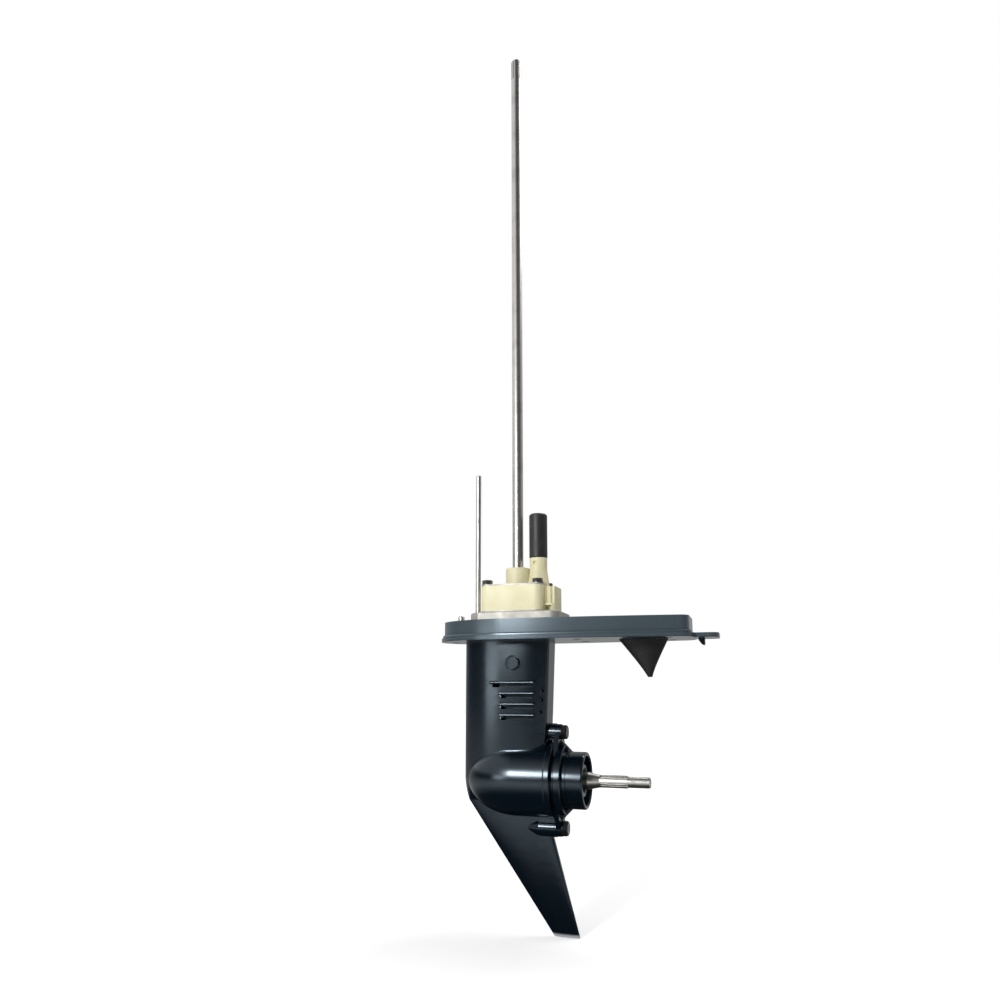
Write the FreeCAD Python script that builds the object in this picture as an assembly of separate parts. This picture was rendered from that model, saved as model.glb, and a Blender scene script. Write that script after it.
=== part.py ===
import FreeCAD, Part
import math
import os

# Lower unit of a small outboard motor, in millimetres.
# The origin is on the drive-shaft axis in the plane of the mating flange.
# +X points aft along the propeller shaft, +Y to starboard and +Z up the drive shaft.

# Clearances
running_gap = 0.06
seat_gap = 0.1
open_gap = 0.3

# Mating flange, its wall and the plate at the wall's foot
flange_nose_x = -76.0
flange_widest_x = -5.0
flange_rear_x = 166.0
flange_half_width = 41.0
flange_rear_half_width = 28.0
flange_corner_radius = 9.0
flange_height = 19.5
plate_thickness = 3.5
plate_lip = 3.0
bead_height = 2.2
bead_stand_out = 1.1
groove_height = 0.8
rim_width = 5.0
deck_rear_x = 56.0
deck_recess = 0.6
recess_margin = 0.6
pan_depth = 14.0
duct_roof_drop = 5.0

# Plate tail with its hook lug
tail_end_x = 191.0
tail_half_width = 17.0
tail_thickness = 4.1
hook_x = 175.3
hook_length = 5.6
hook_width = 7.0
hook_drop = 6.4

# Flange bolts, the nose bolt and the dowels
flange_bolt_front_x = 63.0
flange_bolt_spacing_x = 84.0
flange_bolt_half_spacing_y = 20.0
flange_bolt_hole_radius = 4.25
flange_boss_radius = 9.0
nose_bolt_x = -65.0
dowel_x = -52.0
dowel_half_spacing_y = 21.0
dowel_radius = 3.0
dowel_length = 14.0
dowel_stand_out = 5.0

# Leg, torpedo and skeg
prop_axis_drop = 150.0
leg_nose_x = -54.0
leg_tail_top_x = 35.0
leg_tail_low_x = 31.0
leg_half_width = 22.5
leg_tail_half_width = 11.0
shoulder_radius = 4.0
torpedo_radius = 34.5
torpedo_nose_length = 50.0
joint_plane_x = 38.0
skeg_root_nose_x = -50.3
skeg_root_depth = 21.4
skeg_tip_nose_x = 33.6
skeg_tip_tail_x = 57.5
skeg_depth = 139.0
skeg_root_half_width = 5.0
skeg_tip_half_width = 2.3
rear_bead_radius = 35.7
rear_bead_length = 5.2
bolt_circle_radius = 44.0
case_boss_radius = 8.2
case_boss_length = 17.0

# Water inlet: four louvres on each side and three small holes towards the tail
louvre_top_z = -61.0
louvre_pitch = 10.2
louvre_lengths = (42.0, 33.5, 33.5, 33.5)
louvre_rear_x = 21.0
louvre_height = 3.0
louvre_lip_radius = 1.7
pocket_inner_y = 14.5
pocket_outer_y = 18.6
vent_hole_radius = 1.5
vent_hole_places = ((30.0, -67.4), (29.2, -76.0), (28.2, -87.0))

# Drive shaft and its bores
drive_shaft_radius = 5.4
drive_shaft_top_z = 624.5
drive_spline_length = 24.0
drive_spline_teeth = 10
drive_spline_depth = 0.8
drive_chamfer = 1.6
journal_radius = 7.5
tunnel_radius = 11.5
drive_bearing_outer_radius = 10.5
drive_bearing_length = 17.0
needle_radius = 1.2
needle_count = 16
drive_seal_outer_radius = 11.0
drive_seal_length = 4.5

# Bevel gears, with their cone apex where the two shaft axes meet
pinion_teeth = 13
gear_teeth = 26
gear_module = 2.0
gear_face = 9.0
pressure_angle = 25.0
tooth_addendum = 0.8
tooth_dedendum = 1.05
tooth_backlash = 0.34
pinion_back = 31.0
pinion_hub_radius = 10.5
pinion_nut_height = 4.0
pinion_nut_flats = 11.0
pinion_thread_radius = 4.0
gear_back = 17.5
gear_bore_gap = 0.08
gear_web_face = 11.5
gear_web_radius = 14.2

# Dog clutch and the parts that shift it
clutch_radius = 12.0
clutch_half_body = 3.5
dog_count = 4
dog_angle = 19.0
dog_height = 3.5
dog_neutral_gap = 1.0
dog_inner_radius = 9.0
clutch_travel = 4.0
cross_pin_radius = 2.0
pin_ring_radius = 0.6
plunger_radius = 3.5
plunger_stand_out = 5.8
plunger_length = 42.5
spring_wire_radius = 0.5
spring_turns = 6
shift_rod_x = -42.0
shift_rod_radius = 2.6
shift_rod_top_z = 152.5
shift_rod_travel = 6.0
cam_half_width = 5.0
cam_half_height = 8.5
cam_shoulder_height = 10.3
cam_head_height = 5.0
cam_front_x = -46.0
cam_toe_x = -40.0
cam_toe_rise = 7.5
cam_gap = 0.5
shift_seal_radius = 6.0
shift_seal_length = 5.0
shift_bush_length = 8.0

# Bearings of the two driven gears
gear_hub_radius = 11.0
roller_bearing_outer_radius = 20.5
roller_bearing_width = 12.0
roller_count = 13
cup_race_radii = (15.9, 18.9)
cone_race_radii = (12.1, 14.1)
shim_thickness = 0.5
ball_bearing_outer_radius = 22.0
ball_bearing_width = 9.0
ball_count = 8
reverse_hub_radius = 12.5

# Propeller shaft
prop_shaft_radius = 8.0
prop_shaft_front_x = -31.2
prop_collar_x = 37.0
prop_collar_length = 3.0
prop_collar_radius = 11.0
thrust_washer_thickness = 1.0
prop_cone_start_x = 68.0
prop_cone_end_x = 78.6
prop_spline_radius = 5.8
prop_spline_end_x = 104.5
prop_spline_teeth = 14
prop_spline_depth = 0.8
prop_thread_radius = 5.0
prop_shaft_end_x = 125.4
prop_bearing_outer_radius = 11.5
prop_bearing_length = 14.0
prop_seal_length = 3.5

# Propeller-shaft housing
housing_spigot_radius = 28.5
housing_spigot_front_x = 18.0
housing_throat_radius = 29.6
housing_throat_length = 2.8
housing_flange_radius = 32.0
housing_flange_end_x = 47.5
housing_neck_radius = 27.2
housing_neck_end_x = 51.0
housing_tube_radius = 26.2
housing_tube_wall = 3.6
housing_rim_x = 67.0
housing_rim_round = 1.6
housing_hub_radius = 15.5
housing_hub_end_x = 64.0
housing_duct_front_x = 30.8
housing_rib_thickness = 3.2
housing_rib_end_x = 58.0
housing_ear_radius = 7.6
housing_ear_thickness = 4.5
housing_window_length = 6.0
housing_window_half_angle = 30.0
o_ring_x = 22.5
o_ring_radius = 1.3
housing_bolt_radius = 4.0
housing_bolt_length = 14.0
housing_bolt_flats = 13.0
housing_bolt_head = 5.5

# Trim tab under the plate
tab_x = 122.3
tab_length = 46.0
tab_half_width = 6.0
tab_depth = 35.0
tab_tip_x = 127.5
tab_bolt_radius = 3.0
tab_bolt_grip = 12.0
tab_bolt_head_radius = 5.0
tab_bolt_head_height = 4.0

# Oil plugs
level_plug_x = 1.0
level_plug_z = -41.0
plug_thread_radius = 4.0
plug_head_radius = 6.4
plug_head_height = 3.0
plug_length = 9.0
drain_plug_length = 5.5
plug_gasket_thickness = 1.0
plug_seat_depth = 1.6
drain_plug_x = 6.0
drain_plug_angle = 52.0

# Water pump, from its base up
pump_gasket_thickness = 1.1
pump_base_front_x = -47.5
pump_base_rear_x = 47.0
pump_base_half_width = 29.0
pump_base_top_z = 8.0
pump_spigot_radius = 17.0
pump_spigot_depth = 13.0
pump_o_ring_radius = 1.2
wear_plate_thickness = 1.2
pump_front_x = -31.5
pump_rear_x = 30.5
pump_half_width = 26.0
pump_corner_radius = 7.0
pump_top_z = 33.4
pump_lobe_end_x = 41.5
pump_lobe_half_width = 15.0
pump_groove_radius = 2.1
chamber_top_z = 29.0
liner_outer_radius = 24.0
liner_inner_radius = 22.5
chamber_offset = 1.5
impeller_hub_radius = 9.0
impeller_vanes = 6
impeller_tip_radius = 20.6
vane_thickness = 2.6
impeller_key_radius = 1.6
top_plate_thickness = 1.6
collar_radius = 12.0
collar_top_z = 53.0
tube_x = 21.2
socket_radius = 8.7
socket_top_z = 62.4
socket_foot_radius = 10.6
socket_bore_radius = 4.6
nipple_radius = 6.4
nipple_height = 12.0
tube_seal_radius = 9.0
tube_seal_top_z = 107.0
water_tube_radius = 6.0
pump_bolt_half_spacing_x = 25.5
pump_bolt_half_spacing_y = 19.5
pump_bolt_radius = 3.0
pump_bolt_flats = 9.0
pump_bolt_head = 3.6
pump_bolt_depth = 12.0

# Sides of the sections that stand for round wire and balls
ring_sides = 10
ball_sides = 12
spring_sides = 6

# Worked-out places
axis_z = -prop_axis_drop
plate_top_z = -flange_height + plate_thickness
pitch_ratio = gear_teeth / pinion_teeth
pinion_pitch_radius = gear_module * pinion_teeth / 2
gear_pitch_radius = gear_module * gear_teeth / 2
cone_distance = math.hypot(pinion_pitch_radius, gear_pitch_radius)
pinion_cone_angle = math.atan2(pinion_pitch_radius, gear_pitch_radius)
gear_cone_angle = math.pi / 2 - pinion_cone_angle
gear_cavity_radius = housing_spigot_radius
pinion_top_z = axis_z + pinion_back
thrust_ring_thickness = 1.0
drive_bearing_low_z = pinion_top_z + thrust_ring_thickness + open_gap
drive_bearing_top_z = drive_bearing_low_z + drive_bearing_length
gear_hub_front = gear_back + 1.5
roller_bearing_end = gear_hub_front + roller_bearing_width
dog_face = clutch_half_body + dog_height + dog_neutral_gap
plunger_tip_x = prop_shaft_front_x - plunger_stand_out
cam_slope = clutch_travel / shift_rod_travel
plunger_recess_radius = 12.5
plunger_recess_front_x = -35.0
ball_bearing_front = housing_spigot_front_x + 1.0
ball_bearing_end = ball_bearing_front + ball_bearing_width
prop_bearing_front_x = prop_collar_x + prop_collar_length + thrust_washer_thickness + 0.2
prop_bearing_end_x = prop_bearing_front_x + prop_bearing_length
prop_seal_front_x = housing_hub_end_x - 2 * prop_seal_length - 0.6
pump_base_low_z = pump_gasket_thickness - deck_recess
shift_seal_low_z = -deck_recess - shift_seal_length
shift_bush_low_z = shift_seal_low_z - shift_bush_length
wear_plate_top_z = pump_base_top_z + wear_plate_thickness
top_plate_top_z = pump_top_z + top_plate_thickness
collar_bore_radius = drive_shaft_radius + running_gap
rim_inner = -rim_width

x_axis = FreeCAD.Vector(1, 0, 0)
y_axis = FreeCAD.Vector(0, 1, 0)
z_axis = FreeCAD.Vector(0, 0, 1)


def point(x, y, z):
    return FreeCAD.Vector(x, y, z)


def rod(radius, length, base, direction):
    return Part.makeCylinder(radius, length, base, direction)


def x_rod(radius, x0, x1, y=0.0, z=None):
    height = axis_z if z is None else z
    return rod(radius, x1 - x0, point(x0, y, height), x_axis)


def z_rod(radius, z0, z1, x=0.0, y=0.0):
    return rod(radius, z1 - z0, point(x, y, z0), z_axis)


def block(x0, x1, y0, y1, z0, z1):
    return Part.makeBox(x1 - x0, y1 - y0, z1 - z0, point(x0, y0, z0))


def joined(shapes):
    first = shapes[0]
    return first.multiFuse(shapes[1:]) if len(shapes) > 1 else first


def polygon_face(points):
    return Part.Face(Part.makePolygon(points + points[:1]))


def turned_x(pairs, y=0.0, z=None):
    """A solid of revolution about a line along X, from (x, radius) pairs round its outline."""
    height = axis_z if z is None else z
    outline = [point(x, y, height + radius) for x, radius in pairs]
    return polygon_face(outline).revolve(point(0, y, height), x_axis, 360)


def turned_z(pairs, x=0.0, y=0.0):
    """A solid of revolution about a line along Z, from (radius, z) pairs round its outline."""
    outline = [point(x + radius, y, z) for radius, z in pairs]
    return polygon_face(outline).revolve(point(x, y, 0), z_axis, 360)


def washer_x(outer, inner, x0, x1, y=0.0, z=None):
    return turned_x([(x0, inner), (x1, inner), (x1, outer), (x0, outer)], y, z)


def washer_z(outer, inner, z0, z1, x=0.0, y=0.0):
    return turned_z([(inner, z0), (outer, z0), (outer, z1), (inner, z1)], x, y)


def hexagon(flats, length, base, direction):
    """A hexagonal prism along a direction, with a flat to flat size."""
    prism_points = []
    corner = flats / math.sqrt(3)
    for step in range(6):
        turn = math.radians(60 * step + 30)
        prism_points.append(point(corner * math.cos(turn), corner * math.sin(turn), 0))
    prism = polygon_face(prism_points).extrude(point(0, 0, length))
    turn = FreeCAD.Rotation(z_axis, direction)
    prism.Placement = FreeCAD.Placement(base, turn)
    return prism


def round_section(radius, sides, x=0.0, out=0.0):
    """The corners of a many-sided section that stands for a round wire, as (x, out) pairs."""
    turns = [2 * math.pi * (step + 0.5) / sides for step in range(sides)]
    return [(x + radius * math.cos(turn), out + radius * math.sin(turn)) for turn in turns]


def wire_ring_x(ring_radius, wire_radius, x, sides=ring_sides):
    return turned_x(round_section(wire_radius, sides, x, ring_radius))


def around_x(shape, count, start=0.0):
    """Copies of a shape turned evenly round the propeller-shaft axis."""
    copies = []
    for step in range(count):
        copy = shape.copy()
        copy.rotate(point(0, 0, axis_z), x_axis, start + 360.0 * step / count)
        copies.append(copy)
    return copies


def around_z(shape, count, start=0.0, x=0.0, y=0.0):
    """Copies of a shape turned evenly round a vertical axis."""
    copies = []
    for step in range(count):
        copy = shape.copy()
        copy.rotate(point(x, y, 0), z_axis, start + 360.0 * step / count)
        copies.append(copy)
    return copies


def flange_outline(grow, z):
    """The flange's outline: half an ellipse at the nose, then a long arc down each side."""
    half = flange_half_width + grow
    rear_half = flange_rear_half_width + grow
    rear_x = flange_rear_x + grow
    nose_length = flange_widest_x - flange_nose_x + grow
    side_length = rear_x - flange_widest_x
    drop = half - rear_half
    side_radius = (side_length ** 2 + drop ** 2) / (2 * drop)
    middle_drop = side_radius - math.sqrt(side_radius ** 2 - (side_length / 2) ** 2)
    nose = Part.Ellipse(point(0, 0, 0), nose_length, half)
    nose_edge = Part.ArcOfEllipse(nose, math.pi / 2, 3 * math.pi / 2).toShape()
    nose_edge.translate(point(flange_widest_x, 0, z))
    edges = [nose_edge]
    for side in (-1, 1):
        start = point(flange_widest_x, side * half, z)
        middle = point(flange_widest_x + side_length / 2, side * (half - middle_drop), z)
        end = point(rear_x, side * rear_half, z)
        edges.append(Part.Arc(start, middle, end).toShape())
    rear = Part.LineSegment(point(rear_x, -rear_half, z), point(rear_x, rear_half, z))
    edges.append(rear.toShape())
    return Part.Wire(Part.__sortEdges__(edges))


def flange_prism(grow, z0, z1):
    """A slab with the flange's outline and rounded rear corners."""
    slab = Part.Face(flange_outline(grow, z0)).extrude(point(0, 0, z1 - z0))
    rear_x = flange_rear_x + grow
    corners = []
    for edge in slab.Edges:
        box = edge.BoundBox
        if box.ZLength > 0.5 * (z1 - z0) and box.XMin > rear_x - 0.01 and box.YLength < 0.01:
            corners.append(edge)
    return slab.makeFillet(flange_corner_radius + grow, corners)


def flange_body():
    """The flange block with the bead, groove and lip round its foot, and the plate's tail."""
    lip_top = plate_top_z
    bead_low = lip_top + groove_height
    wall = flange_prism(0.0, lip_top - 1.0, 0.0)
    lip = flange_prism(plate_lip, -flange_height, lip_top)
    bead = flange_prism(bead_stand_out, bead_low, bead_low + bead_height)
    tail = block(flange_rear_x - 20, tail_end_x, -tail_half_width, tail_half_width,
                 -flange_height, -flange_height + tail_thickness)
    corners = []
    for edge in tail.Edges:
        if edge.BoundBox.ZLength > 1 and edge.BoundBox.XMin > tail_end_x - 0.1:
            corners.append(edge)
    tail = tail.makeFillet(0.45 * tail_half_width, corners)
    foot_z = -flange_height
    front_x = hook_x - hook_length / 2
    rear_x = hook_x + hook_length / 2
    hook_points = [
        point(front_x, -hook_width / 2, foot_z + 1),
        point(front_x, -hook_width / 2, foot_z - 0.3 * hook_drop),
        point(front_x + 0.45 * hook_length, -hook_width / 2, foot_z - 0.85 * hook_drop),
        point(front_x + 0.7 * hook_length, -hook_width / 2, foot_z - hook_drop),
        point(rear_x, -hook_width / 2, foot_z - hook_drop),
        point(rear_x, -hook_width / 2, foot_z + 1),
    ]
    hook = polygon_face(hook_points).extrude(point(0, hook_width, 0))
    return joined([wall, lip, bead, tail, hook])


def leg_half(share, half, tail_half):
    """Half thickness of the leg or skeg at a share of its chord: an ellipse, then a round tail."""
    if share <= 0.5:
        return half * math.sqrt(max(0.0, 1 - (1 - 2 * share) ** 2))
    rest = 2 * share - 1
    return tail_half + (half - tail_half) * math.sqrt(max(0.0, 1 - rest ** 4))


def between(value, value0, value1, result0, result1):
    """A straight blend from one result to another, held at both ends."""
    share = (value - value0) / (value1 - value0)
    share = min(1.0, max(0.0, share))
    return result0 + (result1 - result0) * share


def blade_section(z, nose, tail, half, tail_half):
    """One level section of the leg or the skeg: two curved sides and a flat tail."""
    shares = (0.0, 0.03, 0.1, 0.22, 0.36, 0.5, 0.66, 0.82, 0.94, 1.0)
    side = []
    for share in shares:
        x = nose + (tail - nose) * share
        side.append(point(x, -leg_half(share, half, tail_half), z))
    curve = Part.BSplineCurve()
    curve.interpolate(Points=side, Parameters=[float(step) for step in range(len(side))])
    port = curve.toShape()
    starboard = port.mirror(point(0, 0, 0), y_axis)
    end = side[-1]
    tail_edge = Part.LineSegment(end, point(end.x, -end.y, z)).toShape()
    return Part.Wire(Part.__sortEdges__([port, tail_edge, starboard]))


def leg_blade():
    """The leg, from inside the flange down to the propeller-shaft axis."""
    top_z = -0.5 * flange_height
    low_z = axis_z + bolt_circle_radius
    sections = [
        blade_section(top_z, leg_nose_x, leg_tail_top_x, leg_half_width, leg_tail_half_width),
        blade_section(low_z, leg_nose_x, leg_tail_low_x, leg_half_width, leg_tail_half_width),
        blade_section(axis_z, leg_nose_x, leg_tail_low_x, leg_half_width, leg_tail_half_width),
    ]
    return Part.makeLoft(sections, True, True)


def nose_blade():
    """The ridge that wraps round the torpedo's nose, down to the head of the skeg."""
    corner_z = axis_z - skeg_root_depth
    middle_z = axis_z - 0.55 * skeg_root_depth
    middle_half = 0.5 * (leg_half_width + skeg_root_half_width)
    middle_nose = leg_nose_x + 0.3 * (skeg_root_nose_x - leg_nose_x)
    sections = [
        blade_section(axis_z, leg_nose_x, leg_tail_low_x, leg_half_width, leg_tail_half_width),
        blade_section(middle_z, middle_nose, leg_tail_low_x, middle_half, 0.5 * leg_tail_half_width),
        blade_section(corner_z, skeg_root_nose_x, leg_tail_low_x, skeg_root_half_width,
                      0.5 * skeg_root_half_width),
    ]
    return Part.makeLoft(sections, True)


def skeg_blade():
    """The skeg: a thin blade that tapers from the torpedo to its foot."""
    corner_z = axis_z - skeg_root_depth
    waist_z = axis_z - bolt_circle_radius - case_boss_radius
    tip_z = axis_z - skeg_depth
    waist_nose = between(waist_z, corner_z, tip_z, skeg_root_nose_x, skeg_tip_nose_x)
    waist_half = between(waist_z, corner_z, tip_z, skeg_root_half_width, skeg_tip_half_width)
    sections = [
        blade_section(corner_z, skeg_root_nose_x, leg_tail_low_x, skeg_root_half_width,
                      0.5 * skeg_root_half_width),
        blade_section(waist_z, waist_nose, joint_plane_x - 4.0, waist_half, 0.5 * waist_half),
        blade_section(tip_z, skeg_tip_nose_x, skeg_tip_tail_x, skeg_tip_half_width,
                      0.5 * skeg_tip_half_width),
    ]
    return Part.makeLoft(sections, True, True)


def torpedo():
    """The bullet-shaped gear housing: half an ellipsoid ahead, a cylinder behind."""
    nose = Part.Ellipse(point(0, 0, 0), torpedo_nose_length, torpedo_radius)
    arc = Part.ArcOfEllipse(nose, math.pi / 2, math.pi).toShape()
    arc.rotate(point(0, 0, 0), x_axis, 90)
    arc.translate(point(0, 0, axis_z))
    top = point(0, 0, axis_z + torpedo_radius)
    rear_top = point(joint_plane_x, 0, axis_z + torpedo_radius)
    rear = point(joint_plane_x, 0, axis_z)
    front = point(-torpedo_nose_length, 0, axis_z)
    edges = [arc, Part.LineSegment(top, rear_top).toShape(),
             Part.LineSegment(rear_top, rear).toShape(), Part.LineSegment(rear, front).toShape()]
    outline = Part.Face(Part.Wire(Part.__sortEdges__(edges)))
    return outline.revolve(point(0, 0, axis_z), x_axis, 360)


def case_skin():
    """Leg, torpedo and skeg, with a rounded corner where the leg meets the torpedo."""
    body = leg_blade().fuse(torpedo())
    corners = []
    for edge in body.Edges:
        box = edge.BoundBox
        middle = edge.CenterOfMass
        high = middle.z > axis_z + 0.5 * torpedo_radius and box.ZMin > axis_z
        if high and box.XLength > 0.5 * torpedo_nose_length and abs(middle.y) > 0.3 * leg_half_width:
            if box.ZMax < axis_z + 1.05 * torpedo_radius:
                corners.append(edge)
    body = body.makeFillet(shoulder_radius, corners)
    return joined([body, nose_blade(), skeg_blade()])


def case_bosses():
    """The bead at the rear of the case and the two bosses that take the housing bolts."""
    bead_start = joint_plane_x - rear_bead_length
    parts = [turned_x([
        (bead_start - 3, housing_spigot_radius + 2),
        (bead_start - 3, torpedo_radius + 0.1),
        (bead_start - 0.8, torpedo_radius + 0.1),
        (bead_start, rear_bead_radius - 0.5),
        (bead_start + 0.6, rear_bead_radius),
        (joint_plane_x - 0.6, rear_bead_radius),
        (joint_plane_x, rear_bead_radius - 0.6),
        (joint_plane_x, housing_spigot_radius + 2),
    ])]
    for side in (-1, 1):
        boss_z = axis_z + side * bolt_circle_radius
        start = joint_plane_x - case_boss_length
        parts.append(x_rod(case_boss_radius, start, joint_plane_x, 0, boss_z))
        parts.append(Part.makeCone(0.3 * case_boss_radius, case_boss_radius, case_boss_length,
                                   point(start - case_boss_length, 0, boss_z), x_axis))
        low, high = sorted((boss_z, axis_z + side * torpedo_radius * 0.9))
        parts.append(block(start, joint_plane_x, -0.75 * case_boss_radius, 0.75 * case_boss_radius, low, high))
    return parts


def louvre_lips():
    """A half-round lip over each inlet slot, on both sides of the leg."""
    lips = []
    for row, length in enumerate(louvre_lengths):
        z = louvre_top_z - row * louvre_pitch + 0.5 * louvre_height
        for side in (-1, 1):
            y = side * (leg_half_width - 0.9)
            lip = rod(louvre_lip_radius, length, point(louvre_rear_x - length, y, z), x_axis)
            ends = [Part.makeSphere(louvre_lip_radius, point(louvre_rear_x - length, y, z)),
                    Part.makeSphere(louvre_lip_radius, point(louvre_rear_x, y, z))]
            lips.append(joined([lip] + ends))
    return lips


def louvre_slots():
    """The inlet slots, cut through the skin into the water pockets."""
    slots = []
    for row, length in enumerate(louvre_lengths):
        z = louvre_top_z - row * louvre_pitch - 0.5 * louvre_height
        front = louvre_rear_x - length + 1.5
        rear = louvre_rear_x - 1.5
        for side in (-1, 1):
            low, high = sorted((side * (pocket_inner_y + 1), side * (leg_half_width + 4)))
            slots.append(block(front, rear, low, high, z - 0.5 * louvre_height, z + 0.5 * louvre_height))
    return slots


def water_passages():
    """Side pockets behind the louvres and the riser that feeds the pump."""
    low = louvre_top_z - 3 * louvre_pitch - louvre_height - 2
    high = louvre_top_z + 4
    parts = []
    for side in (-1, 1):
        near, far = sorted((side * pocket_inner_y, side * pocket_outer_y))
        parts.append(block(-18.0, louvre_rear_x - 1, near, far, low, high))
        near, far = sorted((side * 2.0, side * pocket_outer_y * 0.85))
        parts.append(block(-26.0, -tunnel_radius - 3.5, near, far, low, high))
    parts.append(block(-31.0, -tunnel_radius - 6.0, -8.0, 8.0, low, 1.0))
    return parts


def exhaust_passages():
    """The open pan, the duct down the leg's tail and the way into the housing's window."""
    pan = flange_prism(rim_inner, -pan_depth, 1.0)
    pan = pan.common(block(deck_rear_x, flange_rear_x, -60, 60, -pan_depth - 1, 2))
    keep = []
    for x in (flange_bolt_front_x, flange_bolt_front_x + flange_bolt_spacing_x):
        for side in (-1, 1):
            y = side * flange_bolt_half_spacing_y
            keep.append(z_rod(flange_boss_radius, -pan_depth - 1, 2, x, y))
            low, high = sorted((y, side * flange_half_width))
            keep.append(block(x - 0.75 * flange_boss_radius, x + 0.75 * flange_boss_radius,
                              low, high, -pan_depth - 1, 2))
    keep.append(z_rod(tab_bolt_head_radius + 2.5, -pan_depth - 1, -pan_depth + 2, tab_x, 0))
    pan = pan.cut(joined(keep))
    duct_front = tunnel_radius + 3.0
    duct_low_z = axis_z + 1.1 * housing_spigot_radius
    under_deck = block(duct_front, deck_rear_x + 5, -9.5, 9.5, -pan_depth, -duct_roof_drop)
    shaft = block(duct_front, 29.0, -9.5, 9.5, axis_z + bolt_circle_radius + 13, -pan_depth + 1)
    narrow = block(duct_front, joint_plane_x - case_boss_length - 0.2, -9.5, 9.5,
                   duct_low_z, axis_z + bolt_circle_radius + 14)
    cross = block(duct_front, joint_plane_x - 2.5, -9.5, 9.5,
                  duct_low_z, axis_z + bolt_circle_radius - housing_bolt_radius - 3.2)
    drop = block(housing_duct_front_x, housing_duct_front_x + 5.5, -9.5, 9.5,
                 axis_z + 0.8 * housing_spigot_radius, duct_low_z + 1)
    return [pan, under_deck, shaft, narrow, cross, drop]


def cam_room():
    """The hollow that the cam slides in, narrower at its front foot to keep the nose's wall."""
    front = cam_front_x - cam_gap
    rear = -gear_hub_front
    foot = axis_z - cam_half_height - shift_rod_travel - cam_gap
    toe = axis_z - cam_half_height + cam_toe_rise - shift_rod_travel - cam_gap
    top = axis_z + cam_shoulder_height + cam_head_height + shift_rod_travel + cam_gap
    half = cam_half_width + cam_gap
    side = polygon_face([point(front, -half, toe), point(cam_toe_x - cam_gap, -half, foot),
                         point(rear, -half, foot), point(rear, -half, axis_z),
                         point(shift_rod_x + 6.0, -half, axis_z + half), point(shift_rod_x + 6.0, -half, top),
                         point(front, -half, top)])
    return side.extrude(point(0, 2 * half, 0))


def shaft_bores():
    """Every round bore of the case."""
    pinion_pocket = pinion_hub_radius + 5.5
    seal_top = -1.0
    bores = [
        z_rod(pump_spigot_radius + seat_gap, -pump_spigot_depth - open_gap, 1.0),
        z_rod(tunnel_radius, drive_bearing_top_z, 0.0),
        z_rod(drive_bearing_outer_radius + seat_gap, drive_bearing_low_z, drive_bearing_top_z + 1),
        z_rod(pinion_pocket, axis_z, drive_bearing_low_z),
        x_rod(gear_cavity_radius, -gear_hub_front, joint_plane_x + 1),
        x_rod(roller_bearing_outer_radius + seat_gap, -roller_bearing_end - shim_thickness, 0),
        x_rod(plunger_recess_radius, plunger_recess_front_x, 0),
        z_rod(shift_rod_radius + running_gap, axis_z, 1.0, shift_rod_x),
        z_rod(shift_seal_radius + seat_gap, shift_bush_low_z, 1.0, shift_rod_x),
        cam_room(),
    ]
    for side in (-1, 1):
        boss_z = axis_z + side * bolt_circle_radius
        bores.append(x_rod(housing_bolt_radius + seat_gap, joint_plane_x - housing_bolt_length,
                           joint_plane_x + 1, 0, boss_z))
        for x in (-pump_bolt_half_spacing_x, pump_bolt_half_spacing_x):
            bores.append(z_rod(pump_bolt_radius + seat_gap, -pump_bolt_depth - 0.5, 1.0,
                               x, side * pump_bolt_half_spacing_y))
        for x in (flange_bolt_front_x, flange_bolt_front_x + flange_bolt_spacing_x):
            bores.append(z_rod(flange_bolt_hole_radius, -flange_height - 1, 1.0,
                               x, side * flange_bolt_half_spacing_y))
        bores.append(z_rod(dowel_radius + seat_gap, -dowel_length + dowel_stand_out, seal_top + 2,
                           dowel_x, side * dowel_half_spacing_y))
    bores.append(z_rod(flange_bolt_hole_radius, -flange_height - 1, 1.0, nose_bolt_x))
    bores.append(z_rod(tab_bolt_radius + seat_gap, -flange_height - 1, 0, tab_x))
    return bores


def level_plug_seat_y():
    return -(leg_half_width - plug_seat_depth)


def plug_bores():
    """The level plug's seat on the port side and the drain plug's seat low to starboard."""
    seat_y = level_plug_seat_y()
    level = [
        rod(plug_head_radius + 0.9, 10, point(level_plug_x, seat_y, level_plug_z), -y_axis),
        rod(plug_thread_radius + seat_gap, 20, point(level_plug_x, seat_y - 1, level_plug_z), y_axis),
    ]
    return level + [drain_tool(plug_head_radius + 0.9, 0.0, 12.0),
                    drain_tool(plug_thread_radius + seat_gap, -12.0, 1.0)]


def drain_seat_distance():
    return torpedo_radius - plug_seat_depth


def drain_direction():
    turn = math.radians(drain_plug_angle)
    return point(0, math.cos(turn), -math.sin(turn))


def drain_tool(radius, start, end):
    """A rod on the drain plug's axis, measured outwards from its seat."""
    direction = drain_direction()
    base = point(drain_plug_x, 0, axis_z) + direction * (drain_seat_distance() + start)
    return rod(radius, end - start, base, direction)


def vent_holes():
    holes = []
    for x, z in vent_hole_places:
        for side in (-1, 1):
            holes.append(rod(vent_hole_radius, 20, point(x - 2.5, side * 8.0, z), point(0.12, side, 0)))
    return holes


def gear_case():
    skin = joined([case_skin(), flange_body()] + case_bosses() + louvre_lips())
    hollows = shaft_bores() + exhaust_passages() + water_passages()
    hollows += louvre_slots() + plug_bores() + vent_holes()
    hollows.append(pump_base_outline(-deck_recess, 1.0, recess_margin))
    return skin.cut(hollows)


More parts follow.
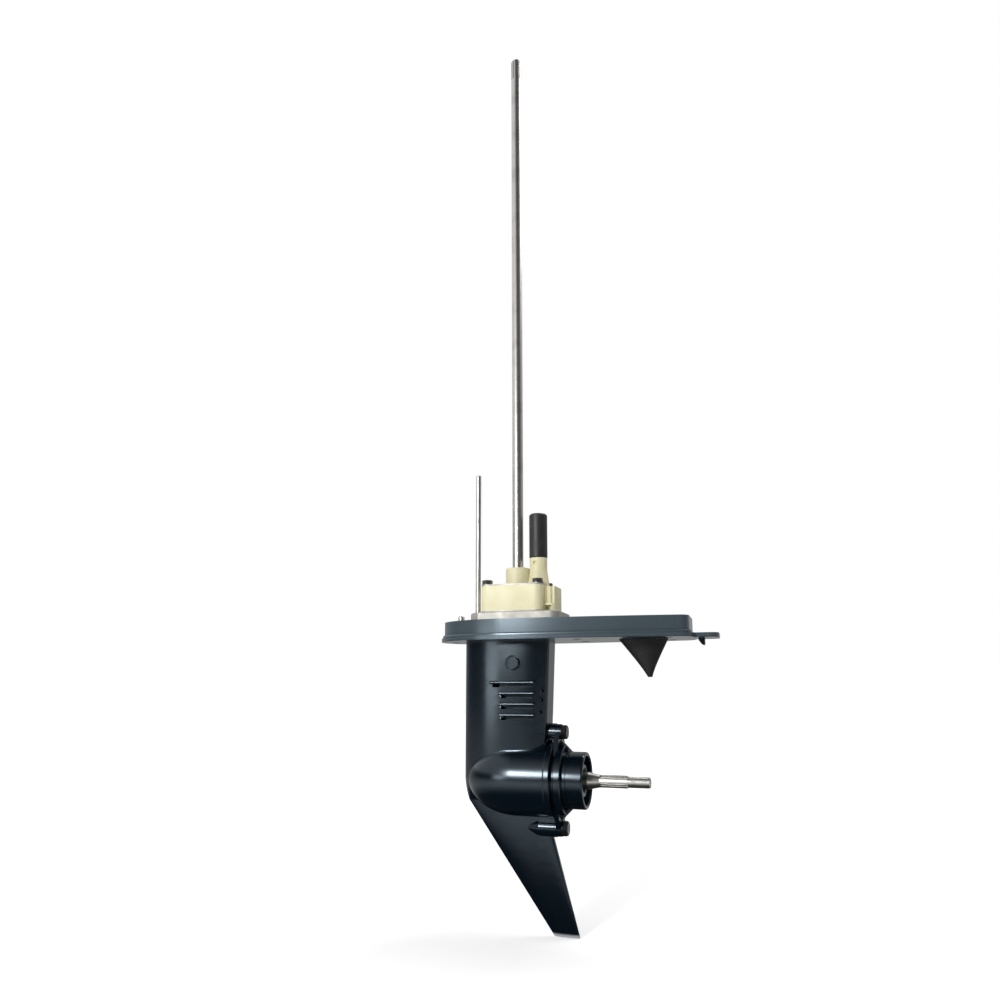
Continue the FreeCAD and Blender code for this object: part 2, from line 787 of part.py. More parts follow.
def propshaft_housing():
    """Flanged housing with a spigot, an open rear tube, ribs and a hub for the shaft."""
    throat_end = joint_plane_x + housing_throat_length
    inner = housing_tube_radius - housing_tube_wall
    spigot = housing_spigot_radius - seat_gap
    round_off = housing_rim_round
    outside = turned_x([
        (housing_spigot_front_x, 0), (housing_spigot_front_x, spigot - 1),
        (housing_spigot_front_x + 1, spigot), (joint_plane_x, spigot),
        (joint_plane_x, housing_throat_radius), (throat_end, housing_throat_radius),
        (throat_end, housing_flange_radius - 0.6), (throat_end + 0.6, housing_flange_radius),
        (housing_flange_end_x - 0.8, housing_flange_radius),
        (housing_flange_end_x, housing_flange_radius - 0.8),
        (housing_flange_end_x, housing_neck_radius), (housing_neck_end_x, housing_neck_radius),
        (housing_neck_end_x, housing_tube_radius), (housing_rim_x - round_off, housing_tube_radius),
        (housing_rim_x - 0.3 * round_off, housing_tube_radius - 0.3 * round_off),
        (housing_rim_x, housing_tube_radius - round_off), (housing_rim_x, 0),
    ])
    parts = [outside]
    for side in (-1, 1):
        z = axis_z + side * bolt_circle_radius
        ear_end = joint_plane_x + housing_ear_thickness
        parts.append(x_rod(housing_ear_radius, joint_plane_x, ear_end, 0, z))
        root_z = axis_z + side * 0.72 * housing_flange_radius
        wide = 0.62 * housing_flange_radius
        web = polygon_face([point(joint_plane_x, -housing_ear_radius, z),
                            point(joint_plane_x, housing_ear_radius, z),
                            point(joint_plane_x, wide, root_z),
                            point(joint_plane_x, -wide, root_z)])
        parts.append(web.extrude(point(housing_ear_thickness, 0, 0)))
        slope = polygon_face([point(joint_plane_x, -2.5, axis_z + side * (bolt_circle_radius - 7.2)),
                              point(ear_end, -2.5, axis_z + side * (bolt_circle_radius - 7.2)),
                              point(housing_neck_end_x + 3, -2.5, axis_z + side * (housing_tube_radius - 1)),
                              point(joint_plane_x, -2.5, axis_z + side * (housing_tube_radius - 1))])
        parts.append(slope.extrude(point(0, 5.0, 0)))
    hub = turned_x([(housing_duct_front_x - 1, 0), (housing_duct_front_x - 1, housing_hub_radius),
                    (housing_hub_end_x - 1, housing_hub_radius), (housing_hub_end_x, housing_hub_radius - 1),
                    (housing_hub_end_x, 0)])
    hollow = turned_x([(housing_duct_front_x, 0), (housing_duct_front_x, inner),
                       (housing_rim_x - 1, inner), (housing_rim_x, inner + 1),
                       (housing_rim_x + 1, inner + 1), (housing_rim_x + 1, 0)])
    ribs = []
    for step in range(4):
        rib = block(housing_duct_front_x - 0.5, housing_rib_end_x, -housing_rib_thickness / 2,
                    housing_rib_thickness / 2, axis_z + 1.0, axis_z + inner + 1)
        rib.rotate(point(0, 0, axis_z), x_axis, 45 + 90 * step)
        ribs.append(rib)
    body = joined(parts).cut(hollow)
    body = joined([body, hub] + ribs)
    bearing_bore = prop_bearing_outer_radius + seat_gap
    cuts = [
        x_rod(ball_bearing_outer_radius + seat_gap, housing_spigot_front_x - 1, ball_bearing_end),
        x_rod(bearing_bore, ball_bearing_end - 1, housing_hub_end_x + 1),
        washer_x(spigot + 2, housing_spigot_radius - 2 * o_ring_radius - 0.2,
                 o_ring_x - 1.15 * o_ring_radius, o_ring_x + 1.15 * o_ring_radius),
    ]
    half_window = housing_spigot_radius * math.sin(math.radians(housing_window_half_angle))
    cuts.append(block(housing_duct_front_x, housing_duct_front_x + housing_window_length, -half_window,
                      half_window, axis_z + housing_hub_radius + 1.5, axis_z + housing_spigot_radius + 1))
    for side in (-1, 1):
        z = axis_z + side * bolt_circle_radius
        cuts.append(x_rod(housing_bolt_radius + seat_gap, joint_plane_x - 1,
                          joint_plane_x + housing_ear_thickness + 1, 0, z))
    return body.cut(cuts)


def housing_bolts():
    bolts = []
    for side in (-1, 1):
        z = axis_z + side * bolt_circle_radius
        seat = joint_plane_x + housing_ear_thickness
        shank = x_rod(housing_bolt_radius, joint_plane_x - housing_bolt_length + 1, seat + 0.5, 0, z)
        flange = x_rod(housing_bolt_flats / 2 + 0.6, seat, seat + 1.0, 0, z)
        head = hexagon(housing_bolt_flats, housing_bolt_head, point(seat + 0.5, 0, z), x_axis)
        bevel = Part.makeCone(housing_bolt_flats / math.sqrt(3) + 3.2, housing_bolt_flats / 2 - 0.6,
                              housing_bolt_head, point(seat + 0.5, 0, z), x_axis)
        bolts.append(joined([shank, flange, head.common(bevel)]))
    return bolts


def housing_o_ring():
    return wire_ring_x(housing_spigot_radius - o_ring_radius - 0.15, o_ring_radius, o_ring_x)


def trim_tab():
    """A fin that tapers from a long top to a small tip, with a threaded hole for its bolt."""
    top_z = -flange_height - seat_gap
    sections = []
    for step in range(5):
        share = step / 4
        length = tab_length * (1 - share) ** 1.12 + 4.0 * share
        width = tab_half_width * (1 - 0.75 * share)
        centre = tab_x + (tab_tip_x - tab_x) * share
        curve = Part.Ellipse(point(0, 0, 0), length / 2, width).toShape()
        curve.translate(point(centre, 0, top_z - tab_depth * share))
        sections.append(Part.Wire(curve))
    fin = Part.makeLoft(sections, True)
    return fin.cut(z_rod(tab_bolt_radius + running_gap, top_z - tab_bolt_grip - 1, top_z + 1, tab_x))


def trim_tab_bolt():
    """A hex bolt through the pan's floor into the tab."""
    seat = -pan_depth + 2
    low = -flange_height - tab_bolt_grip
    shank = z_rod(tab_bolt_radius, low, seat + 0.5, tab_x)
    return shank.fuse(hexagon(2 * tab_bolt_head_radius, tab_bolt_head_height, point(tab_x, 0, seat), z_axis))


def oil_plug(base, direction, length):
    """A slotted plug: base is the centre of its seat and direction points outwards."""
    start = base + direction * plug_gasket_thickness
    head = rod(plug_head_radius, plug_head_height, start, direction)
    rim = [edge for edge in head.Edges if edge.Closed and edge.CenterOfMass.distanceToPoint(start) > 1]
    head = head.makeChamfer(0.6, rim)
    recess = rod(plug_head_radius - 1.6, 0.8, start + direction * (plug_head_height - 0.7), direction)
    thread = rod(plug_thread_radius, length, start - direction * (length - 0.5), direction)
    slot = Part.makeBox(2 * plug_head_radius, 1.5, 2.0, point(-plug_head_radius, -0.75, -1.0))
    turn = FreeCAD.Rotation(z_axis, direction)
    slot.Placement = FreeCAD.Placement(start + direction * (plug_head_height - 0.6), turn)
    return joined([head, thread]).cut([recess, slot.common(rod(plug_head_radius - 1.6, 4.0,
                                                          start, direction))])


def plug_gasket(base, direction):
    ring = rod(plug_head_radius, plug_gasket_thickness, base, direction)
    return ring.cut(rod(plug_thread_radius + open_gap, plug_gasket_thickness + 2, base - direction, direction))


def dowel_pins():
    pins = []
    for side in (-1, 1):
        y = side * dowel_half_spacing_y
        pin = z_rod(dowel_radius, -dowel_length + dowel_stand_out + 0.2, dowel_stand_out, dowel_x, y)
        tip = [edge for edge in pin.Edges if edge.Closed and edge.CenterOfMass.z > 0]
        pins.append(pin.makeChamfer(0.8, tip))
    return pins


def rounded_slab(x0, x1, half, corner, z0, z1):
    slab = block(x0, x1, -half, half, z0, z1)
    upright = [edge for edge in slab.Edges if edge.BoundBox.ZLength > 0.5 * (z1 - z0)]
    return slab.makeFillet(corner, upright)


def pump_bolt_places():
    places = []
    for x in (-pump_bolt_half_spacing_x, pump_bolt_half_spacing_x):
        for y in (-pump_bolt_half_spacing_y, pump_bolt_half_spacing_y):
            places.append((x, y))
    return places


def pump_bolt_holes(z0, z1):
    return [z_rod(pump_bolt_radius + seat_gap, z0, z1, x, y) for x, y in pump_bolt_places()]


def inlet_port(z0, z1):
    return block(-30.0, -pump_spigot_radius - 1.0, -8.0, 8.0, z0, z1)


def pump_base_outline(z0, z1, grow=0.0):
    """The base's plan: a rounded slab with a long rounded front end."""
    slab = rounded_slab(pump_base_front_x - grow, pump_base_rear_x + grow, pump_base_half_width + grow,
                        8.0, z0, z1)
    front = z_rod(pump_base_half_width + 6 + grow, z0, z1, pump_base_front_x + pump_base_half_width + 6)
    rear = block(pump_base_front_x + 20, pump_base_rear_x + 5, -60, 60, z0, z1)
    return slab.common(front.fuse(rear))


def pump_base():
    body = pump_base_outline(pump_base_low_z, pump_base_top_z)
    skirt = [edge for edge in body.Edges
             if abs(edge.CenterOfMass.z - pump_base_top_z) < 0.01 and edge.BoundBox.ZLength < 0.01]
    body = body.makeFillet(1.2, skirt)
    spigot = z_rod(pump_spigot_radius, -pump_spigot_depth, pump_base_low_z + 1)
    cuts = [
        z_rod(drive_shaft_radius + open_gap, -pump_spigot_depth - 1, pump_base_top_z + 1),
        z_rod(drive_seal_outer_radius + seat_gap, -pump_spigot_depth - 1,
              -pump_spigot_depth + 2 * drive_seal_length + 0.4),
        z_rod(shift_rod_radius + open_gap, 0, pump_base_top_z + 1, shift_rod_x),
        inlet_port(-1, pump_base_top_z + 1),
        washer_z(pump_spigot_radius + 1, pump_spigot_radius - 2 * pump_o_ring_radius - 0.15,
                 -0.62 * pump_spigot_depth - 1.15 * pump_o_ring_radius,
                 -0.62 * pump_spigot_depth + 1.15 * pump_o_ring_radius),
    ]
    return body.fuse(spigot).cut(cuts + pump_bolt_holes(-1, pump_base_top_z + 1))


def pump_base_gasket():
    cuts = [z_rod(pump_spigot_radius + open_gap, -1, 2),
            z_rod(shift_rod_radius + open_gap, -1, 2, shift_rod_x), inlet_port(-1, 2)]
    return pump_base_outline(-deck_recess, pump_base_low_z, -0.4).cut(cuts + pump_bolt_holes(-1, 2))


def pump_base_o_ring():
    middle = -0.62 * pump_spigot_depth
    out = pump_spigot_radius - pump_o_ring_radius - 0.1
    return turned_z([(y, x) for x, y in round_section(pump_o_ring_radius, ring_sides, middle, out)])


def wear_plate():
    body = rounded_slab(pump_front_x, pump_rear_x, pump_half_width, pump_corner_radius,
                        pump_base_top_z, wear_plate_top_z)
    cuts = [z_rod(drive_shaft_radius + open_gap, pump_base_top_z - 1, wear_plate_top_z + 1),
            block(-21.5, -12.0, -7.0, 7.0, pump_base_top_z - 1, wear_plate_top_z + 1)]
    return body.cut(cuts + pump_bolt_holes(pump_base_top_z - 1, wear_plate_top_z + 1))


def pump_lobe():
    """The housing's rear lobe, with grooves and a rib between them."""
    lobe = rounded_slab(pump_rear_x - 12, pump_lobe_end_x, pump_lobe_half_width, 5.0,
                        wear_plate_top_z, pump_top_z - 1.0)
    low = wear_plate_top_z + 7
    grooves = []
    for side in (-1, 1):
        for x in (pump_rear_x + 3.2, pump_rear_x + 8.6):
            grooves.append(z_rod(pump_groove_radius, low, pump_top_z, x, side * pump_lobe_half_width))
        notch_low, notch_high = sorted((side * 9.0, side * (pump_lobe_half_width + 1)))
        grooves.append(block(pump_rear_x + 1, pump_rear_x + 7, notch_low, notch_high,
                             wear_plate_top_z - 1, wear_plate_top_z + 5))
    return lobe.cut(grooves)


def pump_housing():
    body = rounded_slab(pump_front_x, pump_rear_x, pump_half_width, pump_corner_radius,
                        wear_plate_top_z, pump_top_z)
    collar = z_rod(collar_radius, pump_top_z - 1, collar_top_z)
    collar_rim = [edge for edge in collar.Edges if edge.Closed and edge.CenterOfMass.z > collar_top_z - 0.1]
    collar = collar.makeChamfer(0.8, collar_rim)
    socket = turned_z([(0, pump_top_z - 1), (socket_foot_radius, pump_top_z - 1),
                       (socket_foot_radius, pump_top_z + 4), (socket_radius, pump_top_z + 16),
                       (socket_radius, socket_top_z), (nipple_radius, socket_top_z),
                       (nipple_radius, socket_top_z + nipple_height - 1),
                       (nipple_radius - 0.8, socket_top_z + nipple_height),
                       (0, socket_top_z + nipple_height)], tube_x)
    whole = joined([body, pump_lobe(), collar, socket])
    cuts = [
        z_rod(liner_outer_radius + seat_gap, wear_plate_top_z - 1, chamber_top_z, 0, chamber_offset),
        z_rod(collar_bore_radius, chamber_top_z - 1, collar_top_z + 1),
        z_rod(socket_bore_radius, chamber_top_z - 1, socket_top_z + nipple_height + 1, tube_x),
        rod(1.8, 3.5, point(tube_x - 1.5, -socket_radius + 2.5, socket_top_z - 5), -y_axis),
    ]
    return whole.cut(cuts + pump_bolt_holes(wear_plate_top_z - 1, pump_top_z + 1))


def pump_liner():
    """An eccentric cup with a roof, open to the outlet and to the wear plate's inlet."""
    cup = z_rod(liner_outer_radius, wear_plate_top_z, chamber_top_z - 0.05, 0, chamber_offset)
    cuts = [
        z_rod(liner_inner_radius, wear_plate_top_z - 1, chamber_top_z - 1.2, 0, chamber_offset),
        z_rod(drive_shaft_radius + 1.0, wear_plate_top_z, chamber_top_z + 1),
        block(tube_x - socket_bore_radius, liner_outer_radius + 3, -socket_bore_radius,
              socket_bore_radius, chamber_top_z - 6, chamber_top_z + 1),
    ]
    return cup.cut(cuts)


def impeller():
    """A rubber hub with vanes that sweep back against the turn."""
    low = wear_plate_top_z + 0.3
    high = chamber_top_z - 1.6
    hub = z_rod(impeller_hub_radius, low, high)
    reach = impeller_tip_radius
    vane_line = []
    for share in (0.0, 0.35, 0.7, 1.0):
        radius = impeller_hub_radius - 1.5 + (reach - impeller_hub_radius + 0.2) * share
        turn = math.radians(34.0 * share ** 1.5)
        vane_line.append(point(radius * math.cos(turn), -radius * math.sin(turn), low))
    outer = []
    inner = []
    for step, place in enumerate(vane_line):
        ahead = vane_line[min(step + 1, len(vane_line) - 1)]
        behind = vane_line[max(step - 1, 0)]
        along = ahead - behind
        along.normalize()
        normal = point(-along.y, along.x, 0) * (vane_thickness / 2)
        outer.append(place + normal)
        inner.append(place - normal)
    vane = polygon_face(outer + inner[::-1]).extrude(point(0, 0, high - low))
    vane = vane.common(z_rod(reach, low - 1, high + 1))
    whole = joined([hub] + around_z(vane, impeller_vanes))
    bore = z_rod(drive_shaft_radius + running_gap, low - 1, high + 1)
    key = z_rod(impeller_key_radius + seat_gap, low - 1, high + 1, drive_shaft_radius)
    return whole.cut([bore, key])


def impeller_key():
    low = wear_plate_top_z + 3
    high = chamber_top_z - 4
    return z_rod(impeller_key_radius, low, high, drive_shaft_radius)


def pump_top_plate():
    body = rounded_slab(pump_front_x, pump_rear_x, pump_half_width, pump_corner_radius,
                        pump_top_z, top_plate_top_z)
    cuts = [z_rod(collar_radius + seat_gap, pump_top_z - 1, top_plate_top_z + 1),
            z_rod(socket_foot_radius + seat_gap, pump_top_z - 1, top_plate_top_z + 1, tube_x)]
    return body.cut(cuts + pump_bolt_holes(pump_top_z - 1, top_plate_top_z + 1))


def pump_bolts():
    bolts = []
    for x, y in pump_bolt_places():
        shank = z_rod(pump_bolt_radius, -pump_bolt_depth, top_plate_top_z + 0.5, x, y)
        skirt = z_rod(pump_bolt_flats / 2 + 1.0, top_plate_top_z, top_plate_top_z + 1.0, x, y)
        head = hexagon(pump_bolt_flats, pump_bolt_head + 0.5, point(x, y, top_plate_top_z + 0.5), z_axis)
        bolts.append(joined([shank, skirt, head]))
    return bolts


def water_tube_seal():
    """A rubber sleeve over the socket's nipple, open above for the water tube."""
    low = socket_top_z
    top = tube_seal_top_z
    step_z = low + nipple_height + open_gap
    return turned_z([
        (nipple_radius + seat_gap, low), (tube_seal_radius - 0.6, low), (tube_seal_radius, low + 1),
        (tube_seal_radius, top - 1.4), (tube_seal_radius - 1.2, top), (water_tube_radius, top),
        (water_tube_radius, step_z + 2), (socket_bore_radius, step_z + 2),
        (socket_bore_radius, step_z), (nipple_radius + seat_gap, step_z),
    ], tube_x)


def lip_seal(outer, inner, start, length, vertical, x=0.0):
    """A shaft seal's section: a flanged case with a lip that reaches the shaft."""
    pairs = [
        (outer, 0.0), (outer, length), (outer - 1.2, length), (outer - 1.2, 0.3 * length),
        (inner + 1.4, 0.3 * length), (inner + running_gap, 0.75 * length), (inner + running_gap, 0.55 * length),
        (inner + 0.9, 0.0),
    ]
    if vertical:
        return turned_z([(radius, start + place) for radius, place in pairs], x)
    return turned_x([(start + place, radius) for radius, place in pairs])


def drive_shaft_seals():
    low = -pump_spigot_depth + 0.2
    return [lip_seal(drive_seal_outer_radius, drive_shaft_radius, low, drive_seal_length, True),
            lip_seal(drive_seal_outer_radius, drive_shaft_radius, low + drive_seal_length + 0.1,
                     drive_seal_length, True)]


def splines(teeth, depth, outer, low, high, vertical):
    """The gaps between spline teeth, as cutters."""
    width = math.pi * outer / teeth
    if vertical:
        gap = block(outer - depth, outer + 2, -width / 2, width / 2, low, high)
        return around_z(gap, teeth)
    gap = block(low, high, -width / 2, width / 2, axis_z + outer - depth, axis_z + outer + 2)
    return around_x(gap, teeth)


def drive_shaft():
    """The long shaft, splined at the top, with a journal, the pinion's seat and a thread below."""
    pinion_low = axis_z + pinion_small_end()
    nut_low = pinion_low - pinion_nut_height
    body = turned_z([
        (0, nut_low - 0.4), (pinion_thread_radius - 0.6, nut_low - 0.4),
        (pinion_thread_radius, nut_low + 0.2), (pinion_thread_radius, pinion_low),
        (drive_shaft_radius, pinion_low + 0.4), (drive_shaft_radius, pinion_top_z + 0.02),
        (journal_radius, pinion_top_z + thrust_ring_thickness), (journal_radius, drive_bearing_top_z + 2),
        (drive_shaft_radius + 0.6, drive_bearing_top_z + 4), (drive_shaft_radius + 0.6, -pump_spigot_depth - 6),
        (drive_shaft_radius, -pump_spigot_depth - 4), (drive_shaft_radius, drive_shaft_top_z - drive_chamfer),
        (drive_shaft_radius - drive_chamfer, drive_shaft_top_z), (0, drive_shaft_top_z),
    ])
    top_cuts = splines(drive_spline_teeth, drive_spline_depth, drive_shaft_radius,
                       drive_shaft_top_z - drive_spline_length, drive_shaft_top_z + 1, True)
    key_low = wear_plate_top_z + 3 - 0.1
    key_seat = z_rod(impeller_key_radius + seat_gap, key_low, chamber_top_z - 3.9, drive_shaft_radius)
    return body.cut(top_cuts + [key_seat])


def drive_shaft_bearing_cup():
    low = drive_bearing_low_z
    high = drive_bearing_top_z
    inner = journal_radius + 2 * needle_radius + 2 * running_gap
    lip = journal_radius + 0.8
    outer = drive_bearing_outer_radius
    return turned_z([(lip, low), (outer, low), (outer, high), (lip, high), (lip, high - 0.8),
                     (inner, high - 0.8), (inner, low + 0.8), (lip, low + 0.8)])


def drive_shaft_needles():
    orbit = journal_radius + needle_radius + running_gap
    needle = z_rod(needle_radius, drive_bearing_low_z + 1.0, drive_bearing_top_z - 1.0, orbit)
    return around_z(needle, needle_count)


def thrust_ring():
    return washer_z(pinion_hub_radius + 2.5, journal_radius + 0.2, pinion_top_z,
                    pinion_top_z + thrust_ring_thickness)


def pinion_small_end():
    """How far above the cone apex the pinion's small end lies."""
    inner = cone_distance - gear_face
    return inner * math.cos(pinion_cone_angle) - 0.9


def tooth_outline(teeth, cone_angle):
    """One straight bevel tooth's section on the back cone: (distance out, half width) pairs."""
    virtual_teeth = teeth / math.cos(cone_angle)
    virtual_radius = gear_module * virtual_teeth / 2
    pressure = math.radians(pressure_angle)
    base_radius = virtual_radius * math.cos(pressure)
    pitch_half_angle = math.pi / (2 * virtual_teeth) - tooth_backlash / (2 * virtual_radius)
    involute_at_pitch = math.tan(pressure) - pressure
    root = virtual_radius - tooth_dedendum * gear_module
    tip = virtual_radius + tooth_addendum * gear_module
    pairs = []
    for step in range(6):
        radius = root + (tip - root) * step / 5
        reach = max(radius, base_radius)
        angle = math.acos(min(1.0, base_radius / reach))
        half_angle = pitch_half_angle + involute_at_pitch - (math.tan(angle) - angle)
        pairs.append((radius * math.cos(half_angle), radius * math.sin(half_angle)))
    first = pairs[0]
    return [(first[0] - 1.2, first[1])] + pairs, virtual_radius


def bevel_tooth(teeth, cone_angle):
    """A tooth that narrows to the cone apex at the origin, with the gear's axis along +Z."""
    pairs, virtual_radius = tooth_outline(teeth, cone_angle)
    centre_z = cone_distance * math.cos(cone_angle) + virtual_radius * math.sin(cone_angle)
    outline = []
    for out, half in pairs + [(out, -half) for out, half in reversed(pairs)]:
        outline.append(point(out * math.cos(cone_angle), half, centre_z - out * math.sin(cone_angle)))
    small = (cone_distance - gear_face) / cone_distance
    near = [place * small for place in outline]
    faces = [polygon_face(outline), polygon_face(near)]
    count = len(outline)
    for step in range(count):
        follow = (step + 1) % count
        faces.append(polygon_face([outline[step], outline[follow], near[follow], near[step]]))
    solid = Part.makeSolid(Part.makeShell(faces))
    if solid.Volume < 0:
        solid.reverse()
    return solid


def root_line(teeth, cone_angle):
    """The root cone at the large and small ends, as (radius, height) pairs."""
    virtual_radius = gear_module * teeth / (2 * math.cos(cone_angle))
    root = virtual_radius - tooth_dedendum * gear_module + 0.05
    centre_z = cone_distance * math.cos(cone_angle) + virtual_radius * math.sin(cone_angle)
    radius = root * math.cos(cone_angle)
    height = centre_z - root * math.sin(cone_angle)
    small = (cone_distance - gear_face) / cone_distance
    return (radius, height), (radius * small, height * small)


def local_revolve(pairs):
    outline = [point(radius, 0, z) for radius, z in pairs]
    return polygon_face(outline).revolve(point(0, 0, 0), z_axis, 360)


def pinion_gear():
    large, small = root_line(pinion_teeth, pinion_cone_angle)
    low = pinion_small_end()
    blank = local_revolve([
        (0, low), (small[0] - 1.0, low), small, large, (large[0], large[1] + 1.5),
        (pinion_hub_radius, large[1] + 2.5), (pinion_hub_radius, pinion_back), (0, pinion_back),
    ])
    tooth = bevel_tooth(pinion_teeth, pinion_cone_angle)
    whole = joined([blank] + around_z(tooth, pinion_teeth, 180.0))
    whole = whole.cut(z_rod(drive_shaft_radius + running_gap, 0, pinion_back + 1))
    whole.translate(point(0, 0, axis_z))
    return whole


def pinion_nut():
    high = axis_z + pinion_small_end()
    nut = hexagon(pinion_nut_flats, pinion_nut_height, point(0, 0, high - pinion_nut_height), z_axis)
    return nut.cut(z_rod(pinion_thread_radius + 0.05, high - 10, high + 1))


def ring_sector(inner, outer, angle, z0, z1, middle):
    """A block of a ring, centred on an angle, with the ring's axis along +Z."""
    ring = Part.makeCylinder(outer, z1 - z0, point(0, 0, z0), z_axis, angle)
    ring = ring.cut(z_rod(inner, z0 - 1, z1 + 1))
    ring.rotate(point(0, 0, 0), z_axis, middle - angle / 2)
    return ring


def driven_gear(hub_radius, hub_length, dog_turn=0.0):
    """A bevel gear with dogs on its face, its axis along +Z and the cone apex at the origin."""
    large, small = root_line(gear_teeth, gear_cone_angle)
    blank = local_revolve([
        (0, gear_web_face), (gear_web_radius - 1.0, gear_web_face), (small[0] - 0.8, small[1] - 0.3), small,
        large, (large[0] - 0.4, gear_back - 1.0), (large[0] - 2.0, gear_back),
        (hub_radius + 2.0, gear_back), (hub_radius + 2.0, gear_hub_front), (hub_radius, gear_hub_front),
        (hub_radius, hub_length), (0, hub_length),
    ])
    tooth = bevel_tooth(gear_teeth, gear_cone_angle)
    dogs = []
    for step in range(dog_count):
        middle = dog_turn + 360.0 * step / dog_count + 180.0 / dog_count / 2
        dogs.append(ring_sector(dog_inner_radius, clutch_radius, dog_angle, dog_face,
                                gear_web_face + 0.5, middle))
    whole = joined([blank] + around_z(tooth, gear_teeth) + dogs)
    return whole.cut(z_rod(prop_shaft_radius + gear_bore_gap, 0, hub_length + 1))


def forward_gear():
    """The front gear. Half a tooth of turn lets the pinion's tooth meet a gap, its dogs staying put."""
    half_tooth = 180.0 / gear_teeth
    gear = driven_gear(gear_hub_radius, roller_bearing_end - 0.4, half_tooth)
    gear.rotate(point(0, 0, 0), y_axis, -90)
    gear.rotate(point(0, 0, 0), x_axis, half_tooth)
    gear.translate(point(0, 0, axis_z))
    return gear


def reverse_gear():
    gear = driven_gear(reverse_hub_radius, ball_bearing_end - 0.4)
    gear.rotate(point(0, 0, 0), y_axis, 90)
    gear.translate(point(0, 0, axis_z))
    return gear


def race_radius(x, outer):
    """The radius of a tapered raceway at x: the cup's with outer true, the cone's with it false."""
    share = (x + roller_bearing_end) / roller_bearing_width
    small, large = cup_race_radii if outer else cone_race_radii
    return small + (large - small) * share


def forward_bearing_cup():
    """The outer race of the tapered roller bearing, against its shim."""
    front = -roller_bearing_end
    rear = -gear_hub_front - 2.5
    outer = roller_bearing_outer_radius
    return turned_x([(front, outer), (rear, outer), (rear, race_radius(rear, True)),
                     (front, race_radius(front, True))])


def forward_bearing_cone():
    """The inner race, with a rib at each end of the rollers."""
    front = -roller_bearing_end + 0.6
    rear = -gear_hub_front
    inner = gear_hub_radius + 0.02
    rib = 1.3
    return turned_x([
        (front, inner), (rear, inner), (rear, race_radius(rear, False) + rib),
        (rear - rib, race_radius(rear, False) + rib), (rear - rib, race_radius(rear - rib, False)),
        (front + rib, race_radius(front + rib, False)), (front + rib, race_radius(front, False) + 0.6),
        (front, race_radius(front, False) + 0.6),
    ])


def forward_bearing_rollers():
    """Tapered rollers, each midway between the two raceways."""
    front = -roller_bearing_end + 2.3
    rear = -gear_hub_front - 1.9
    ends = []
    for x in (front, rear):
        cup = race_radius(x, True)
        cone = race_radius(x, False)
        ends.append((x, (cup + cone) / 2, (cup - cone) / 2))
    slope = math.atan2(ends[1][1] - ends[0][1], rear - front)
    length = math.hypot(rear - front, ends[1][1] - ends[0][1])
    small = ends[0][2] * math.cos(slope) - running_gap
    large = ends[1][2] * math.cos(slope) - running_gap
    direction = point(math.cos(slope), 0, math.sin(slope))
    roller = Part.makeCone(small, large, length, point(front, 0, axis_z + ends[0][1]), direction)
    return around_x(roller, roller_count, 7.0)


def forward_shim():
    return washer_x(roller_bearing_outer_radius, roller_bearing_outer_radius - 4.0,
                    -roller_bearing_end - shim_thickness, -roller_bearing_end)


def ball_pitch_radius():
    return (ball_bearing_outer_radius + reverse_hub_radius) / 2


def ball_radius():
    return 0.27 * (ball_bearing_outer_radius - reverse_hub_radius)


def ball_race(inner, outer):
    race = washer_x(outer, inner, ball_bearing_front, ball_bearing_end)
    middle = (ball_bearing_front + ball_bearing_end) / 2
    groove_radius = (ball_radius() + running_gap) / math.cos(math.pi / ball_sides)
    return race.cut(wire_ring_x(ball_pitch_radius(), groove_radius, middle, ball_sides))


def reverse_bearing_outer():
    return ball_race(ball_pitch_radius() + 0.62 * ball_radius(), ball_bearing_outer_radius)


def reverse_bearing_inner():
    return ball_race(reverse_hub_radius + 0.02, ball_pitch_radius() - 0.62 * ball_radius())


def reverse_bearing_balls():
    middle = (ball_bearing_front + ball_bearing_end) / 2
    half_section = [pair for pair in round_section(ball_radius(), ball_sides, middle) if pair[1] > 0]
    ends = [(half_section[-1][0], 0.0), (half_section[0][0], 0.0)]
    ball = turned_x(half_section + ends, 0, axis_z + ball_pitch_radius())
    return around_x(ball, ball_count)


def dog_clutch():
    """A sliding ring with dogs on both faces, pinned to the propeller shaft."""
    outer = clutch_radius
    half = clutch_half_body
    body = turned_x([
        (-half, 0), (-half, outer), (-1.4, outer), (-1.4, outer - 1.3), (1.4, outer - 1.3),
        (1.4, outer), (half, outer), (half, 0),
    ])
    dogs = []
    for step in range(dog_count):
        for start in (half - 0.5, -half - dog_height):
            dog = ring_sector(dog_inner_radius, outer, dog_angle, 0, dog_height + 0.5,
                              360.0 * step / dog_count)
            dog.rotate(point(0, 0, 0), y_axis, 90)
            dog.translate(point(start, 0, axis_z))
            dogs.append(dog)
    whole = joined([body] + dogs)
    bore = x_rod(prop_shaft_radius + running_gap, -half - dog_height - 1, half + dog_height + 1)
    pin_hole = rod(cross_pin_radius + 0.05, 2 * outer + 2, point(0, -outer - 1, axis_z), y_axis)
    return whole.cut([bore, pin_hole])


def clutch_pin():
    half = clutch_radius - 1.45
    return rod(cross_pin_radius, 2 * half, point(0, -half, axis_z), y_axis)


def clutch_pin_ring():
    """The open wire ring in the clutch's groove that keeps the cross pin in."""
    ring = wire_ring_x(clutch_radius - 0.65, pin_ring_radius, 0.0)
    gap = block(-2, 2, -1.5, 1.5, axis_z + clutch_radius - 3, axis_z + clutch_radius + 1)
    return ring.cut(gap)


def plunger_end_x():
    return plunger_tip_x + plunger_length


